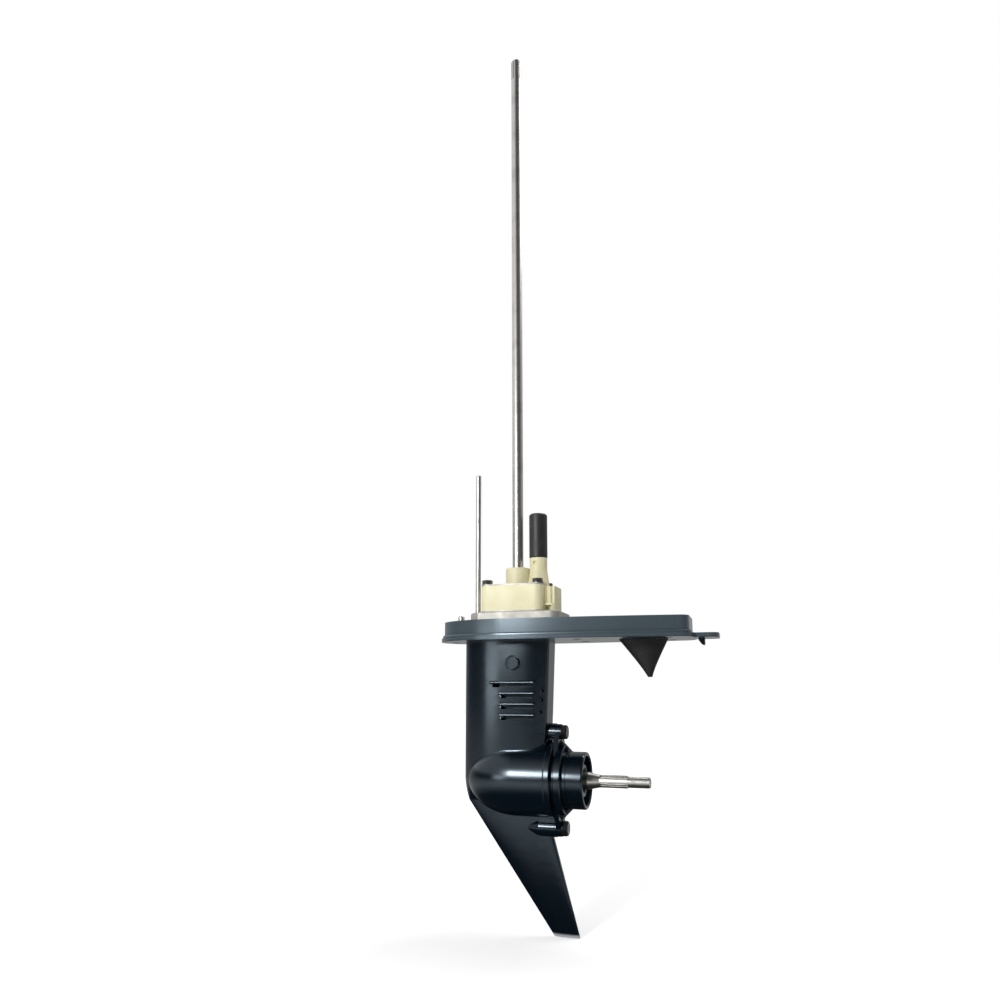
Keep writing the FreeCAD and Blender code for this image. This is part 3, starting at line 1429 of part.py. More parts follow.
def shift_plunger():
    """A round-nosed plunger in the shaft's bore, pushed by the cam and holed for the cross pin."""
    radius = plunger_radius
    nose = Part.makeSphere(radius, point(plunger_tip_x + radius, 0, axis_z))
    body = x_rod(radius, plunger_tip_x + radius, plunger_end_x())
    pin_hole = rod(cross_pin_radius + 0.05, 4 * radius, point(0, -2 * radius, axis_z), y_axis)
    return nose.fuse(body).cut(pin_hole)


def shift_spring():
    """The spring behind the plunger, as a coiled wire."""
    start = plunger_end_x() + 0.3 + spring_wire_radius
    end = prop_bore_end_x() - 0.3 - spring_wire_radius
    pitch = (end - start) / spring_turns
    coil = plunger_radius - spring_wire_radius - 0.25
    helix = Part.makeHelix(pitch, end - start, coil)
    corners = [point(coil + x, 0, z) for x, z in round_section(spring_wire_radius, spring_sides)]
    section = Part.makePolygon(corners + corners[:1])
    wire = Part.Wire(helix.Edges).makePipeShell([section], True, True)
    wire.rotate(point(0, 0, 0), y_axis, 90)
    wire.translate(point(start, 0, axis_z))
    return wire


def prop_bore_end_x():
    return plunger_end_x() + clutch_travel + 12.0


def prop_shaft():
    """The propeller shaft: front bore and cross slot, thrust collar, cone, spline and thread."""
    radius = prop_shaft_radius
    body = turned_x([
        (prop_shaft_front_x, 0), (prop_shaft_front_x, radius - 1), (prop_shaft_front_x + 1, radius),
        (prop_collar_x, radius), (prop_collar_x, prop_collar_radius),
        (prop_collar_x + prop_collar_length, prop_collar_radius),
        (prop_collar_x + prop_collar_length, radius), (prop_cone_start_x, radius),
        (prop_cone_end_x, prop_spline_radius), (prop_spline_end_x, prop_spline_radius),
        (prop_spline_end_x + 0.6, prop_thread_radius), (prop_shaft_end_x - 1, prop_thread_radius),
        (prop_shaft_end_x, prop_thread_radius - 1), (prop_shaft_end_x, 0),
    ])
    slot_half = clutch_travel + cross_pin_radius + 0.3
    slot = block(-slot_half + cross_pin_radius, slot_half - cross_pin_radius, -radius - 1, radius + 1,
                 axis_z - cross_pin_radius - 0.1, axis_z + cross_pin_radius + 0.1)
    slot_ends = [rod(cross_pin_radius + 0.1, 2 * radius + 2, point(x, -radius - 1, axis_z), y_axis)
                 for x in (-slot_half + cross_pin_radius, slot_half - cross_pin_radius)]
    bore = x_rod(plunger_radius + running_gap, prop_shaft_front_x - 1, prop_bore_end_x())
    cuts = splines(prop_spline_teeth, prop_spline_depth, prop_spline_radius,
                   prop_cone_end_x + 1.0, prop_spline_end_x + 1, False)
    return body.cut(cuts + [slot, bore] + slot_ends)


def prop_thrust_washer():
    start = prop_collar_x + prop_collar_length + 0.05
    return washer_x(prop_bearing_outer_radius, prop_shaft_radius + 0.15, start, start + thrust_washer_thickness)


def prop_bearing_cup():
    low = prop_bearing_front_x
    high = prop_bearing_end_x
    outer = prop_bearing_outer_radius
    inner = prop_shaft_radius + 2 * needle_radius + 2 * running_gap
    lip = prop_shaft_radius + 0.8
    return turned_x([(low, lip), (low, outer), (high, outer), (high, lip), (high - 0.8, lip),
                     (high - 0.8, inner), (low + 0.8, inner), (low + 0.8, lip)])


def prop_bearing_needles():
    orbit = prop_shaft_radius + needle_radius + running_gap
    needle = x_rod(needle_radius, prop_bearing_front_x + 1.0, prop_bearing_end_x - 1.0,
                   0, axis_z + orbit)
    return around_x(needle, needle_count)


def propshaft_seals():
    outer = prop_bearing_outer_radius
    return [lip_seal(outer, prop_shaft_radius, prop_seal_front_x, prop_seal_length, False),
            lip_seal(outer, prop_shaft_radius, prop_seal_front_x + prop_seal_length + 0.1,
                     prop_seal_length, False)]


def shift_rod():
    low = axis_z + cam_shoulder_height + 0.5
    body = z_rod(shift_rod_radius, low, shift_rod_top_z, shift_rod_x)
    tip = [edge for edge in body.Edges if edge.Closed and edge.CenterOfMass.z > shift_rod_top_z - 0.1]
    return body.makeChamfer(0.7, tip)


def shift_cam():
    """A wedge whose ramp pushes the plunger aft when the rod rises, with a head round the rod."""
    slope_angle = math.atan(cam_slope)
    ramp_x = plunger_tip_x + plunger_radius - (plunger_radius + running_gap) / math.cos(slope_angle)
    half = cam_half_height
    ramp_foot = shift_rod_travel + plunger_radius * math.sin(slope_angle) + 0.1
    foot_x = ramp_x + cam_slope * ramp_foot
    brow_z = shift_rod_travel - plunger_radius * math.sin(slope_angle) + 1.2
    brow_x = ramp_x - cam_slope * brow_z
    shoulder_z = axis_z + cam_shoulder_height
    head_rear_x = shift_rod_x + 5.0
    wedge = polygon_face([
        point(cam_front_x, -cam_half_width, axis_z - half + cam_toe_rise),
        point(cam_toe_x, -cam_half_width, axis_z - half), point(foot_x, -cam_half_width, axis_z - half),
        point(foot_x, -cam_half_width, axis_z - ramp_foot), point(brow_x, -cam_half_width, axis_z + brow_z),
        point(brow_x, -cam_half_width, shoulder_z), point(cam_front_x, -cam_half_width, shoulder_z),
    ]).extrude(point(0, 2 * cam_half_width, 0))
    head = block(cam_front_x, head_rear_x, -cam_half_width, cam_half_width, shoulder_z,
                 shoulder_z + cam_head_height)
    corners = [edge for edge in head.Edges if edge.BoundBox.ZLength > 0.9 * cam_head_height]
    head = head.makeFillet(1.5, corners)
    socket = z_rod(shift_rod_radius + 0.02, shoulder_z + 0.4, shoulder_z + 2 * cam_head_height, shift_rod_x)
    return wedge.fuse(head).cut(socket)


def shift_rod_bush():
    return washer_z(shift_seal_radius, shift_rod_radius + running_gap, shift_bush_low_z + 0.1,
                    shift_seal_low_z - 0.1, shift_rod_x)


def shift_rod_seal():
    return lip_seal(shift_seal_radius, shift_rod_radius, shift_seal_low_z, shift_seal_length - 0.2,
                    True, shift_rod_x)


def make_parts():
    level_seat = point(level_plug_x, level_plug_seat_y(), level_plug_z)
    drain_out = drain_direction()
    drain_seat = point(drain_plug_x, 0, axis_z) + drain_out * drain_seat_distance()
    return {
        "gear_case": gear_case(),
        "propshaft_housing": propshaft_housing(),
        "housing_bolts": housing_bolts(),
        "housing_o_ring": housing_o_ring(),
        "trim_tab": trim_tab(),
        "trim_tab_bolt": trim_tab_bolt(),
        "oil_level_plug": oil_plug(level_seat, -y_axis, plug_length),
        "oil_drain_plug": oil_plug(drain_seat, drain_out, drain_plug_length),
        "plug_gaskets": [plug_gasket(level_seat, -y_axis), plug_gasket(drain_seat, drain_out)],
        "dowel_pins": dowel_pins(),
        "pump_base": pump_base(),
        "pump_base_gasket": pump_base_gasket(),
        "pump_base_o_ring": pump_base_o_ring(),
        "wear_plate": wear_plate(),
        "pump_housing": pump_housing(),
        "pump_liner": pump_liner(),
        "impeller": impeller(),
        "impeller_key": impeller_key(),
        "pump_top_plate": pump_top_plate(),
        "pump_bolts": pump_bolts(),
        "water_tube_seal": water_tube_seal(),
        "drive_shaft_seals": drive_shaft_seals(),
        "drive_shaft": drive_shaft(),
        "drive_shaft_bearing_cup": drive_shaft_bearing_cup(),
        "drive_shaft_needles": drive_shaft_needles(),
        "pinion_thrust_ring": thrust_ring(),
        "pinion_gear": pinion_gear(),
        "pinion_nut": pinion_nut(),
        "forward_gear": forward_gear(),
        "forward_bearing_cup": forward_bearing_cup(),
        "forward_bearing_cone": forward_bearing_cone(),
        "forward_bearing_rollers": forward_bearing_rollers(),
        "forward_shim": forward_shim(),
        "reverse_gear": reverse_gear(),
        "reverse_bearing_outer": reverse_bearing_outer(),
        "reverse_bearing_inner": reverse_bearing_inner(),
        "reverse_bearing_balls": reverse_bearing_balls(),
        "dog_clutch": dog_clutch(),
        "clutch_pin": clutch_pin(),
        "clutch_pin_ring": clutch_pin_ring(),
        "shift_plunger": shift_plunger(),
        "shift_spring": shift_spring(),
        "prop_shaft": prop_shaft(),
        "prop_thrust_washer": prop_thrust_washer(),
        "prop_bearing_cup": prop_bearing_cup(),
        "prop_bearing_needles": prop_bearing_needles(),
        "propshaft_seals": propshaft_seals(),
        "shift_rod": shift_rod(),
        "shift_cam": shift_cam(),
        "shift_rod_bush": shift_rod_bush(),
        "shift_rod_seal": shift_rod_seal(),
    }


def write_parts(parts):
    os.makedirs("parts", exist_ok=True)
    for name, shape in parts.items():
        solids = shape if isinstance(shape, list) else [shape]
        solids = [solid for piece in solids for solid in piece.Solids]
        whole = solids[0] if len(solids) == 1 else Part.makeCompound(solids)
        whole.exportStep("parts/" + name + ".step")
        box = whole.BoundBox
        print(f"{name:26s} solids {len(solids):2d} valid {whole.isValid()} volume {whole.Volume:10.1f}"
              f" x {box.XMin:7.1f} {box.XMax:7.1f} y {box.YMin:6.1f} {box.YMax:6.1f}"
              f" z {box.ZMin:7.1f} {box.ZMax:7.1f}")


write_parts(make_parts())
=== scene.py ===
import math
import bpy
import numpy as np
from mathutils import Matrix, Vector


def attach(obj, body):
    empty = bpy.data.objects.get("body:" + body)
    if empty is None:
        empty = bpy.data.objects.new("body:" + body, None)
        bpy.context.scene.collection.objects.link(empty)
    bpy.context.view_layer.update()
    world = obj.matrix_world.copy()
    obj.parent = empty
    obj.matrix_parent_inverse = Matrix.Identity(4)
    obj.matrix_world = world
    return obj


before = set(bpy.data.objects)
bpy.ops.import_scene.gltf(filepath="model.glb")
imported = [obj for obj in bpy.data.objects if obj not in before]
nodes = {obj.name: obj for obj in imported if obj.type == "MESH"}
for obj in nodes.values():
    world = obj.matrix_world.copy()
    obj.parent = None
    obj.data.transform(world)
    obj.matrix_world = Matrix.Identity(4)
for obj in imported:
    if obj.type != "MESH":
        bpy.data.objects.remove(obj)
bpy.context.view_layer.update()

# The dressed lower unit: a finish for every solid, the propeller nut's thread, the flange's bead,
# the studio and the camera. Metres, with the origin on the drive-shaft axis at the mating face.

# Floor, and the thread for the propeller's nut
floor_z = -0.2896
axis_z = -0.150
thread_start_x = 0.1056
thread_end_x = 0.1240
thread_pitch = 0.00125
thread_radius = 0.0050
thread_sink = 0.00004
thread_height = 0.00022
thread_rows_per_turn = 10
thread_sides = 64

# Flange's outline, and the bead at the foot of its wall
nose_x = -0.0760
widest_x = -0.0050
rear_x = 0.1660
half_width = 0.0410
rear_half_width = 0.0280
corner_radius = 0.0090
bead_z = -0.0149
bead_half_height = 0.0016
bead_stand_off = 0.0009
bead_bulge = 0.0010
bead_tilt = 0.00016
bead_back_out = 0.0004
bead_back_half_height = 0.0014

# Heights where the colour changes: above the flange's foot a slate tone that is partly painted sheen,
# and a lighter grey along the skeg's foot
flange_slate_and_sheen_low_z = -0.0200
flange_slate_and_sheen_high_z = -0.0185
grey_foot_top_z = -0.2858
grey_foot_low_z = -0.2880

# Studio: strength of the plain light, and lamps as name, place, target, width, height and watts
plain_light = 0.42
lamps = (
    ("key_light", (-0.39, -1.25, 0.30), (0.0, 0.0, -0.13), 0.20, 0.28, 8.6),
    ("front_light", (-0.68, -1.05, -0.02), (0.0, 0.0, -0.06), 0.38, 0.24, 1.2),
    ("top_light", (0.40, 0.35, 1.00), (0.02, 0.0, -0.05), 0.60, 0.60, 5.0),
)

# Camera: angles in degrees, focal length and picture width in pixels
camera_place = (0.21773, -0.72837, -0.0665)
camera_azimuth = 18.0
camera_pitch = 8.858
camera_focal = 770.0
camera_shift_y = 0.07
picture_width = 1000.0
sensor_width = 36.0


def new_group(name, inputs, outputs):
    """An empty shader group with the given (name, type, value) inputs and (name, type) outputs."""
    group = bpy.data.node_groups.new(name, "ShaderNodeTree")
    for label, kind, value in inputs:
        socket = group.interface.new_socket(
            name=label, in_out="INPUT", socket_type="NodeSocket" + kind)
        socket.default_value = value
    for label, kind in outputs:
        group.interface.new_socket(
            name=label, in_out="OUTPUT", socket_type="NodeSocket" + kind)
    return group, group.nodes.new("NodeGroupInput"), group.nodes.new("NodeGroupOutput")


def node(tree, kind, **settings):
    made = tree.nodes.new("ShaderNode" + kind)
    for key, value in settings.items():
        setattr(made, key, value)
    return made


def math_node(tree, operation, first, second=None, clamp=False):
    made = node(tree, "Math", operation=operation, use_clamp=clamp)
    for place, value in enumerate((first, second)):
        if value is None:
            continue
        if isinstance(value, (int, float)):
            made.inputs[place].default_value = value
        else:
            tree.links.new(value, made.inputs[place])
    return made.outputs[0]


def map_range(tree, value, from_low, from_high, to_low=0.0, to_high=1.0):
    spread = node(tree, "MapRange")
    for key, setting in (("From Min", from_low), ("From Max", from_high),
                         ("To Min", to_low), ("To Max", to_high)):
        spread.inputs[key].default_value = setting
    tree.links.new(value, spread.inputs["Value"])
    return spread.outputs[0]


def mix_color(tree, share, first, second):
    blend = node(tree, "Mix", data_type="RGBA")
    tree.links.new(share, blend.inputs[0])
    for place, value in ((6, first), (7, second)):
        if isinstance(value, tuple):
            blend.inputs[place].default_value = value + (1.0,)
        else:
            tree.links.new(value, blend.inputs[place])
    return blend.outputs[2]


def put_out_finish(group, inside, outside, share, variation, height, height_name):
    """Mix the two colours by a share, swing the roughness by a variation, bump by a height."""
    swing = math_node(group, "SUBTRACT", variation, 0.5)
    swing = math_node(group, "MULTIPLY", swing, inside.outputs["Roughness Spread"])
    rough = math_node(group, "ADD", swing, inside.outputs["Roughness"], True)
    bump = node(group, "Bump")
    bump.inputs["Strength"].default_value = 1.0
    group.links.new(inside.outputs[height_name], bump.inputs["Distance"])
    group.links.new(height, bump.inputs["Height"])
    color = mix_color(group, share, inside.outputs["Color"], inside.outputs["Dark Color"])
    group.links.new(color, outside.inputs["Color"])
    group.links.new(rough, outside.inputs["Roughness"])
    group.links.new(bump.outputs[0], outside.inputs["Normal"])


def cloudy_group():
    """Cloudy variation of colour, roughness and height, by place on the object."""
    group, inside, outside = new_group("cloudy_finish", [
        ("Color", "Color", (0.5, 0.5, 0.5, 1.0)), ("Dark Color", "Color", (0.3, 0.3, 0.3, 1.0)),
        ("Cloud Scale", "Float", 30.0), ("Grain Scale", "Float", 900.0),
        ("Roughness", "Float", 0.4), ("Roughness Spread", "Float", 0.1),
        ("Grain Height", "Float", 0.0001), ("Cloud Amount", "Float", 0.5),
    ], [("Color", "Color"), ("Roughness", "Float"), ("Normal", "Vector")])
    place = node(group, "TexCoord").outputs["Object"]
    cloud = node(group, "TexNoise")
    cloud.inputs["Detail"].default_value = 5.0
    cloud.inputs["Roughness"].default_value = 0.6
    group.links.new(place, cloud.inputs["Vector"])
    group.links.new(inside.outputs["Cloud Scale"], cloud.inputs["Scale"])
    grain = node(group, "TexNoise")
    grain.inputs["Detail"].default_value = 3.0
    group.links.new(place, grain.inputs["Vector"])
    group.links.new(inside.outputs["Grain Scale"], grain.inputs["Scale"])
    spread = map_range(group, cloud.outputs[0], 0.35, 0.68)
    share = math_node(group, "MULTIPLY", spread, inside.outputs["Cloud Amount"], True)
    put_out_finish(group, inside, outside, share, spread, grain.outputs[0], "Grain Height")
    return group


def turned_group():
    """Fine lines left by grinding or turning: noise stretched round one axis of the object."""
    group, inside, outside = new_group("turned_finish", [
        ("Color", "Color", (0.6, 0.6, 0.6, 1.0)), ("Dark Color", "Color", (0.3, 0.3, 0.3, 1.0)),
        ("Stretch", "Vector", (40.0, 40.0, 4000.0)), ("Roughness", "Float", 0.25),
        ("Roughness Spread", "Float", 0.12), ("Line Height", "Float", 0.00002),
    ], [("Color", "Color"), ("Roughness", "Float"), ("Normal", "Vector")])
    place = node(group, "TexCoord").outputs["Object"]
    stretched = node(group, "VectorMath", operation="MULTIPLY")
    group.links.new(place, stretched.inputs[0])
    group.links.new(inside.outputs["Stretch"], stretched.inputs[1])
    lines = node(group, "TexNoise")
    lines.inputs["Scale"].default_value = 1.0
    lines.inputs["Detail"].default_value = 4.0
    group.links.new(stretched.outputs[0], lines.inputs["Vector"])
    stains = node(group, "TexNoise")
    stains.inputs["Scale"].default_value = 55.0
    stains.inputs["Detail"].default_value = 6.0
    group.links.new(place, stains.inputs["Vector"])
    mask = map_range(group, stains.outputs[0], 0.52, 0.75)
    share = math_node(group, "MULTIPLY", mask, 0.6)
    put_out_finish(group, inside, outside, share, lines.outputs[0], lines.outputs[0], "Line Height")
    return group


def new_material(name):
    material = bpy.data.materials.new(name)
    material.use_nodes = True
    tree = material.node_tree
    return material, tree, tree.nodes["Principled BSDF"]


def set_inputs(made, values):
    for key, value in values.items():
        if isinstance(value, tuple) and len(value) == 3 and key.endswith("Color"):
            value = value + (1.0,)
        made.inputs[key].default_value = value


def finished_material(name, group, values, shader):
    """A material whose colour, roughness and normal come from one of the finish groups."""
    material, tree, principled = new_material(name)
    used = node(tree, "Group", node_tree=group)
    set_inputs(used, values)
    set_inputs(principled, shader)
    for output, socket in (("Color", "Base Color"), ("Roughness", "Roughness"), ("Normal", "Normal")):
        tree.links.new(used.outputs[output], principled.inputs[socket])
    return material, tree, principled, used


def cloudy_finish(name, values, shader):
    return finished_material(name, cloudy, values, shader)[0]


def turned_finish(name, values, shader):
    return finished_material(name, turned, values, shader)[0]


def ramp_by_z(tree, start, end):
    """A mask that goes from 0 at the start height to 1 at the end height."""
    parts = node(tree, "SeparateXYZ")
    tree.links.new(node(tree, "TexCoord").outputs["Object"], parts.inputs[0])
    return map_range(tree, parts.outputs["Z"], start, end)


def paint_material():
    """Gloss dark navy paint; on the flange a slate tone that is partly painted sheen, and lighter grey
    along the skeg's foot.
    """
    material, tree, principled, used = finished_material("navy_paint_finish", cloudy, {
        "Color": (0.0013, 0.0048, 0.0092), "Dark Color": (0.0007, 0.0028, 0.0058),
        "Cloud Scale": 14.0, "Grain Scale": 1200.0, "Roughness": 0.215,
        "Roughness Spread": 0.05, "Grain Height": 0.000008, "Cloud Amount": 0.8,
    }, {"IOR": 1.62, "Specular Tint": (0.74, 0.89, 1.0, 1.0)})
    # On the flange a lighter slate tone: partly the paint's own shade, partly painted sheen standing in
    # for the light the wall reflects
    flange = ramp_by_z(tree, flange_slate_and_sheen_low_z, flange_slate_and_sheen_high_z)
    color = mix_color(tree, flange, used.outputs["Color"], (0.055, 0.074, 0.088))
    # Lighter grey along the bottom edge of the skeg
    grey_foot = ramp_by_z(tree, grey_foot_top_z, grey_foot_low_z)
    color = mix_color(tree, grey_foot, color, (0.42, 0.44, 0.46))
    tree.links.new(color, principled.inputs["Base Color"])
    return material


def surface(name, rows, body, finish, closed_along=False):
    """A mesh from a grid of points: rows along the piece, columns round it, smooth shaded."""
    count, around, _ = rows.shape
    points = rows.reshape(-1, 3)
    spans = count if closed_along else count - 1
    row, column = np.meshgrid(np.arange(spans), np.arange(around), indexing="ij")
    row, column = row.ravel(), column.ravel()
    beside = (column + 1) % around
    after = (row + 1) % count
    faces = np.stack([row * around + column, row * around + beside,
                      after * around + beside, after * around + column], axis=-1).tolist()
    mesh = bpy.data.meshes.new(name)
    mesh.from_pydata(points.tolist(), [], faces)
    mesh.polygons.foreach_set("use_smooth", [True] * len(faces))
    mesh.materials.append(finish)
    mesh.update()
    made = bpy.data.objects.new(name, mesh)
    bpy.context.scene.collection.objects.link(made)
    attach(made, body)
    return made


def thread_piece(finish):
    """The propeller nut's thread: a radius that rises and falls once a pitch, along a helix."""
    turns = (thread_end_x - thread_start_x) / thread_pitch
    along = np.linspace(0.0, 1.0, int(turns * thread_rows_per_turn) + 1)
    round_it = np.linspace(0.0, 2 * math.pi, thread_sides, endpoint=False)
    place, angle = np.meshgrid(along, round_it, indexing="ij")
    phase = place * turns - angle / (2 * math.pi)
    wave = 1.0 - np.abs(2.0 * (phase - np.floor(phase)) - 1.0)
    fade = np.clip(np.minimum(place, 1.0 - place) * turns, 0.0, 1.0)
    radius = thread_radius - thread_sink + thread_height * wave * fade
    x = thread_start_x + (thread_end_x - thread_start_x) * place
    rows = np.stack([x, radius * np.cos(angle), axis_z + radius * np.sin(angle)], axis=-1)
    made = surface("propeller_nut_thread", rows, "propeller_shaft", finish)
    return made


def flange_line():
    """Half of the flange's outline, nose to rear, as points and outward directions.

    A quarter ellipse at the nose, a long arc of a circle down the side, then a rounded rear corner.
    """
    nose_length = widest_x - nose_x
    turn = np.linspace(0.0, math.pi / 2, 40)
    nose = np.stack([widest_x - nose_length * np.cos(turn), half_width * np.sin(turn),
                     -np.cos(turn) / nose_length, np.sin(turn) / half_width], axis=-1)
    length = rear_x - widest_x
    drop = half_width - rear_half_width
    radius = (length ** 2 + drop ** 2) / (2 * drop)
    centre_y = half_width - radius
    corner_x = rear_x - corner_radius
    corner_y = centre_y + math.sqrt((radius - corner_radius) ** 2 - (corner_x - widest_x) ** 2)
    end = math.atan2(corner_x - widest_x, corner_y - centre_y)
    turn = np.linspace(0.0, end, 40)[1:]
    side = np.stack([widest_x + radius * np.sin(turn), centre_y + radius * np.cos(turn),
                     np.sin(turn), np.cos(turn)], axis=-1)
    turn = np.linspace(end, math.pi / 2, 12)[1:]
    corner = np.stack([corner_x + corner_radius * np.sin(turn), corner_y + corner_radius * np.cos(turn),
                       np.sin(turn), np.cos(turn)], axis=-1)
    return np.concatenate([nose, side, corner])


def flange_bead(finish):
    """The round bead at the flange's foot: a squarish half oval carried along the outline."""
    line = flange_line()
    line[:, 2:] /= np.linalg.norm(line[:, 2:], axis=1, keepdims=True)
    other = line[::-1][:-1] * (1, -1, 1, -1)
    line = np.concatenate([line, other])
    turn = np.linspace(-math.pi / 2, math.pi / 2, 15)
    rise = np.sin(turn)
    out = bead_stand_off + bead_bulge * np.abs(np.cos(turn)) ** 0.5 - bead_tilt * rise
    height = bead_z + bead_half_height * np.sign(rise) * np.abs(rise) ** 0.7
    out = np.concatenate([out, (bead_back_out, bead_back_out)])
    height = np.concatenate([height, (bead_z + bead_back_half_height, bead_z - bead_back_half_height)])
    x = line[:, None, 0] + line[:, None, 2] * out[None, :]
    y = line[:, None, 1] + line[:, None, 3] * out[None, :]
    z = np.broadcast_to(height, x.shape)
    made = surface("flange_bead", np.stack([x, y, z], axis=-1), "root", finish, True)
    return made


def dress(names, finish):
    for name in names:
        mesh = nodes[name].data
        mesh.materials.clear()
        mesh.materials.append(finish)


def stage_plane(name, size, place, finish):
    half = size / 2
    mesh = bpy.data.meshes.new(name)
    corners = [(-half, -half, 0), (half, -half, 0), (half, half, 0), (-half, half, 0)]
    mesh.from_pydata(corners, [], [(0, 1, 2, 3)])
    mesh.materials.append(finish)
    made = bpy.data.objects.new(name, mesh)
    made.location = place
    bpy.context.scene.collection.objects.link(made)
    return made


def area_light(name, place, target, width, height, power):
    data = bpy.data.lights.new(name, "AREA")
    data.shape = "RECTANGLE"
    data.size = width
    data.size_y = height
    data.energy = power
    made = bpy.data.objects.new(name, data)
    made.location = place
    direction = Vector(target) - Vector(place)
    made.rotation_euler = direction.to_track_quat("-Z", "Y").to_euler()
    bpy.context.scene.collection.objects.link(made)
    return made


def dot_with(tree, vector, direction):
    made = node(tree, "VectorMath", operation="DOT_PRODUCT")
    tree.links.new(vector, made.inputs[0])
    made.inputs[1].default_value = direction
    return made.outputs["Value"]


def studio_seen_by_metal(tree):
    """What reflections show: a pale backdrop behind, a dark room in front, a lit wall high left."""
    toward = node(tree, "TexCoord").outputs["Generated"]
    backdrop = map_range(tree, dot_with(tree, toward, (0.0, 1.0, 0.0)), -0.15, 0.35, 0.045, 0.45)
    left = map_range(tree, dot_with(tree, toward, (-0.883, -0.469, 0.0)), 0.40, 0.60)
    above = map_range(tree, dot_with(tree, toward, (0.0, 0.0, 1.0)), 0.16, 0.28)
    lit = math_node(tree, "MULTIPLY", left, above)
    return math_node(tree, "ADD", backdrop, math_node(tree, "MULTIPLY", lit, 0.85))


def background(tree, strength):
    made = tree.nodes.new("ShaderNodeBackground")
    made.inputs["Color"].default_value = (1.0, 1.0, 1.0, 1.0)
    if isinstance(strength, float):
        made.inputs["Strength"].default_value = strength
    else:
        tree.links.new(strength, made.inputs["Strength"])
    return made.outputs[0]


def choose(tree, share, first, second):
    made = node(tree, "MixShader")
    tree.links.new(share, made.inputs[0])
    tree.links.new(first, made.inputs[1])
    tree.links.new(second, made.inputs[2])
    return made.outputs[0]


def white_world():
    """White to the camera, the studio in reflections, and a plain grey light for everything else."""
    world = bpy.data.worlds.new("studio_world")
    bpy.context.scene.world = world
    world.use_nodes = True
    tree = world.node_tree
    tree.nodes.remove(tree.nodes["Background"])
    path = node(tree, "LightPath")
    shown = math_node(tree, "MAXIMUM", path.outputs["Is Camera Ray"],
                      path.outputs["Is Transmission Ray"])
    light = choose(tree, path.outputs["Is Glossy Ray"], background(tree, plain_light),
                   background(tree, studio_seen_by_metal(tree)))
    light = choose(tree, shown, light, background(tree, 1.0))
    tree.links.new(light, tree.nodes["World Output"].inputs["Surface"])


def floor_material():
    """A pale floor that turns white away from the object, with painted shade close to it that only
    reflections see.
    """
    material, tree, principled = new_material("studio_floor")
    principled.inputs["Roughness"].default_value = 0.9
    principled.inputs["Specular IOR Level"].default_value = 0.0
    path = node(tree, "LightPath")
    reach = node(tree, "VectorMath", operation="LENGTH")
    tree.links.new(node(tree, "TexCoord").outputs["Object"], reach.inputs[0])
    reach = reach.outputs["Value"]
    # Painted shade: close to the object, the floor is dark to reflections only
    reflected_shade_near = map_range(tree, reach, 0.42, 0.20)
    share = math_node(tree, "MULTIPLY", reflected_shade_near, path.outputs["Is Glossy Ray"])
    color = mix_color(tree, share, (0.93, 0.93, 0.93), (0.03, 0.03, 0.03))
    tree.links.new(color, principled.inputs["Base Color"])
    lift = map_range(tree, reach, 0.30, 1.40, 0.38, 0.82)
    lift = math_node(tree, "MULTIPLY", lift, path.outputs["Is Camera Ray"])
    principled.inputs["Emission Strength"].default_value = 1.0
    tree.links.new(lift, principled.inputs["Emission Color"])
    return material


def make_camera():
    data = bpy.data.cameras.new("photo_camera")
    data.sensor_width = sensor_width
    data.lens = sensor_width * camera_focal / picture_width
    data.shift_y = camera_shift_y
    data.clip_start = 0.01
    data.clip_end = 50.0
    made = bpy.data.objects.new("photo_camera", data)
    made.location = camera_place
    turn = math.radians(camera_azimuth)
    rise = math.radians(camera_pitch)
    forward = Vector((-math.sin(turn) * math.cos(rise), math.cos(turn) * math.cos(rise),
                      math.sin(rise)))
    made.rotation_euler = forward.to_track_quat("-Z", "Y").to_euler()
    bpy.context.scene.collection.objects.link(made)
    bpy.context.scene.camera = made


cloudy = cloudy_group()
turned = turned_group()

paint = paint_material()
tab_finish = cloudy_finish("tab_finish", {
    "Color": (0.0022, 0.0024, 0.0030), "Dark Color": (0.005, 0.005, 0.006), "Cloud Scale": 60.0,
    "Grain Scale": 1500.0, "Roughness": 0.45, "Roughness Spread": 0.12, "Grain Height": 0.00006,
}, {"Specular IOR Level": 0.3})
bolt_finish = cloudy_finish("black_bolt_finish", {
    "Color": (0.035, 0.037, 0.040), "Dark Color": (0.010, 0.010, 0.012), "Cloud Scale": 260.0,
    "Grain Scale": 2500.0, "Roughness": 0.28, "Roughness Spread": 0.15, "Grain Height": 0.00003,
}, {"Metallic": 0.7})
dull_bolt_finish = cloudy_finish("dull_bolt_finish", {
    "Color": (0.20, 0.20, 0.19), "Dark Color": (0.06, 0.06, 0.055), "Cloud Scale": 220.0,
    "Grain Scale": 2500.0, "Roughness": 0.38, "Roughness Spread": 0.15, "Grain Height": 0.00003,
}, {"Metallic": 0.9})
cream_finish = cloudy_finish("cream_plastic_finish", {
    "Color": (0.80, 0.755, 0.50), "Dark Color": (0.66, 0.60, 0.36), "Cloud Scale": 45.0,
    "Grain Scale": 1400.0, "Roughness": 0.46, "Roughness Spread": 0.12, "Grain Height": 0.00005,
    "Cloud Amount": 0.45,
}, {})
rubber_finish = cloudy_finish("black_rubber_finish", {
    "Color": (0.016, 0.016, 0.017), "Dark Color": (0.035, 0.033, 0.032), "Cloud Scale": 90.0,
    "Grain Scale": 2200.0, "Roughness": 0.50, "Roughness Spread": 0.12, "Grain Height": 0.00004,
}, {})
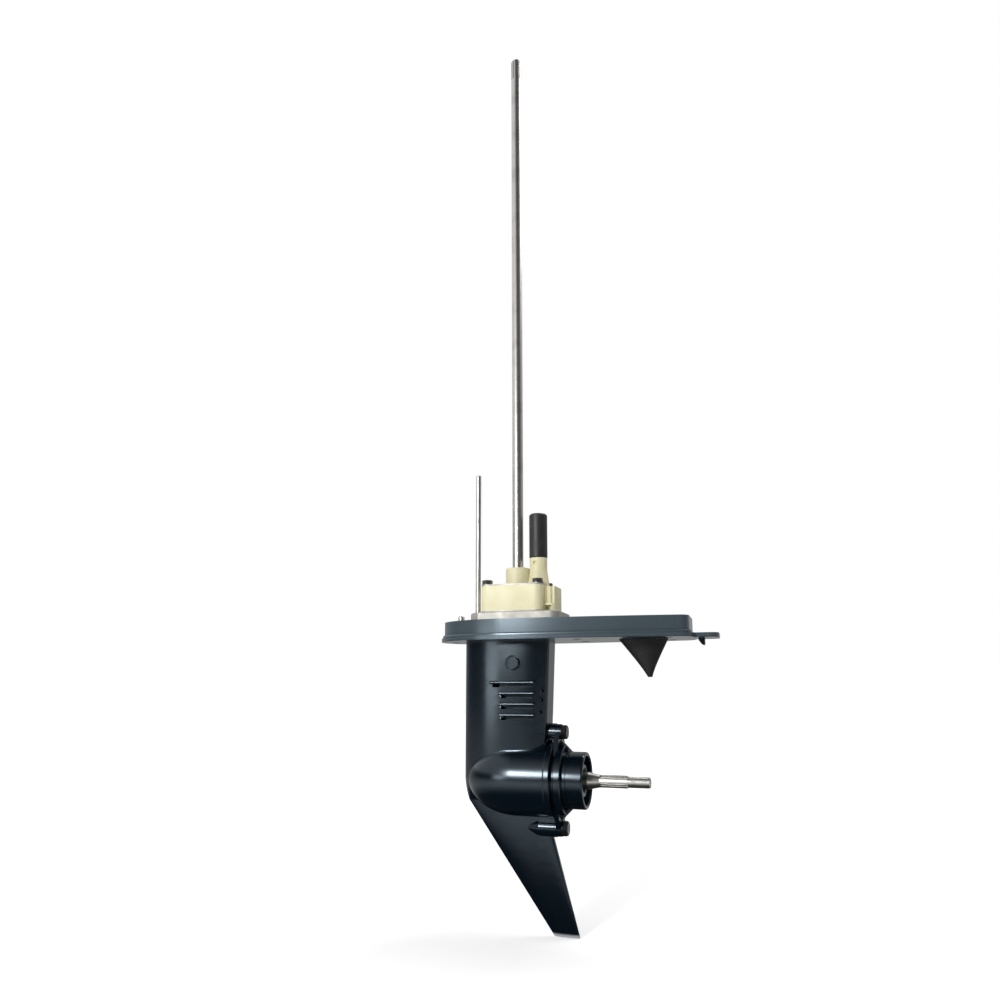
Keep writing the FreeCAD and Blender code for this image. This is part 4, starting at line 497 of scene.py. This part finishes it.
plate_finish = cloudy_finish("pump_plate_finish", {
    "Color": (0.49, 0.475, 0.425), "Dark Color": (0.40, 0.39, 0.36), "Cloud Scale": 70.0,
    "Grain Scale": 1800.0, "Roughness": 0.50, "Roughness Spread": 0.15, "Grain Height": 0.00002,
    "Cloud Amount": 0.6,
}, {"Metallic": 0.35})
gasket_finish = cloudy_finish("gasket_finish", {
    "Color": (0.20, 0.17, 0.13), "Dark Color": (0.10, 0.09, 0.07), "Cloud Scale": 300.0,
    "Grain Scale": 3000.0, "Roughness": 0.75, "Grain Height": 0.00006,
}, {})
bronze_finish = cloudy_finish("bronze_finish", {
    "Color": (0.58, 0.40, 0.18), "Dark Color": (0.32, 0.20, 0.09), "Cloud Scale": 120.0,
    "Grain Scale": 2500.0, "Roughness": 0.32, "Grain Height": 0.00002,
}, {"Metallic": 1.0})
gear_finish = cloudy_finish("gear_steel_finish", {
    "Color": (0.36, 0.36, 0.37), "Dark Color": (0.17, 0.16, 0.15), "Cloud Scale": 150.0,
    "Grain Scale": 3000.0, "Roughness": 0.27, "Grain Height": 0.00002,
}, {"Metallic": 1.0})
bearing_finish = cloudy_finish("bearing_steel_finish", {
    "Color": (0.66, 0.66, 0.67), "Dark Color": (0.45, 0.45, 0.46), "Cloud Scale": 200.0,
    "Grain Scale": 3500.0, "Roughness": 0.16, "Grain Height": 0.00001,
}, {"Metallic": 1.0})
upright_steel = turned_finish("upright_shaft_finish", {
    "Color": (0.60, 0.59, 0.57), "Dark Color": (0.33, 0.32, 0.31), "Stretch": (60.0, 60.0, 2200.0),
    "Roughness": 0.37, "Roughness Spread": 0.03, "Line Height": 0.0000004,
}, {"Metallic": 1.0})
level_steel = turned_finish("level_shaft_finish", {
    "Color": (0.66, 0.65, 0.62), "Dark Color": (0.35, 0.34, 0.32), "Stretch": (2200.0, 60.0, 60.0),
    "Roughness": 0.33, "Roughness Spread": 0.03, "Line Height": 0.0000005,
}, {"Metallic": 1.0})

dress(["gear_case", "propshaft_housing", "oil_level_plug", "oil_drain_plug"], paint)
dress(["trim_tab"], tab_finish)
dress(["housing_bolts", "trim_tab_bolt"], bolt_finish)
dress(["pump_bolts"], dull_bolt_finish)
dress(["drive_shaft", "shift_rod", "dowel_pins"], upright_steel)
dress(["prop_shaft"], level_steel)
dress(["pump_base", "wear_plate", "pump_top_plate", "pump_liner"], plate_finish)
dress(["pump_housing"], cream_finish)
dress(["water_tube_seal", "housing_o_ring", "pump_base_o_ring", "impeller", "drive_shaft_seals",
       "propshaft_seals", "shift_rod_seal"], rubber_finish)
dress(["plug_gaskets", "pump_base_gasket"], gasket_finish)
dress(["shift_rod_bush", "prop_thrust_washer", "pinion_thrust_ring"], bronze_finish)
dress(["impeller_key", "pinion_gear", "pinion_nut", "forward_gear", "reverse_gear", "dog_clutch",
       "clutch_pin", "clutch_pin_ring", "shift_plunger", "shift_spring", "shift_cam"], gear_finish)
dress(["drive_shaft_bearing_cup", "drive_shaft_needles", "forward_bearing_cup", "forward_bearing_cone",
       "forward_bearing_rollers", "forward_shim", "reverse_bearing_outer", "reverse_bearing_inner",
       "reverse_bearing_balls", "prop_bearing_cup", "prop_bearing_needles"], bearing_finish)

thread_piece(level_steel)
flange_bead(paint)

white_world()
stage_plane("studio_floor", 12.0, (0.0, 0.0, floor_z), floor_material())
for lamp in lamps:
    area_light(*lamp)
make_camera()

bpy.context.scene.view_settings.view_transform = "Standard"
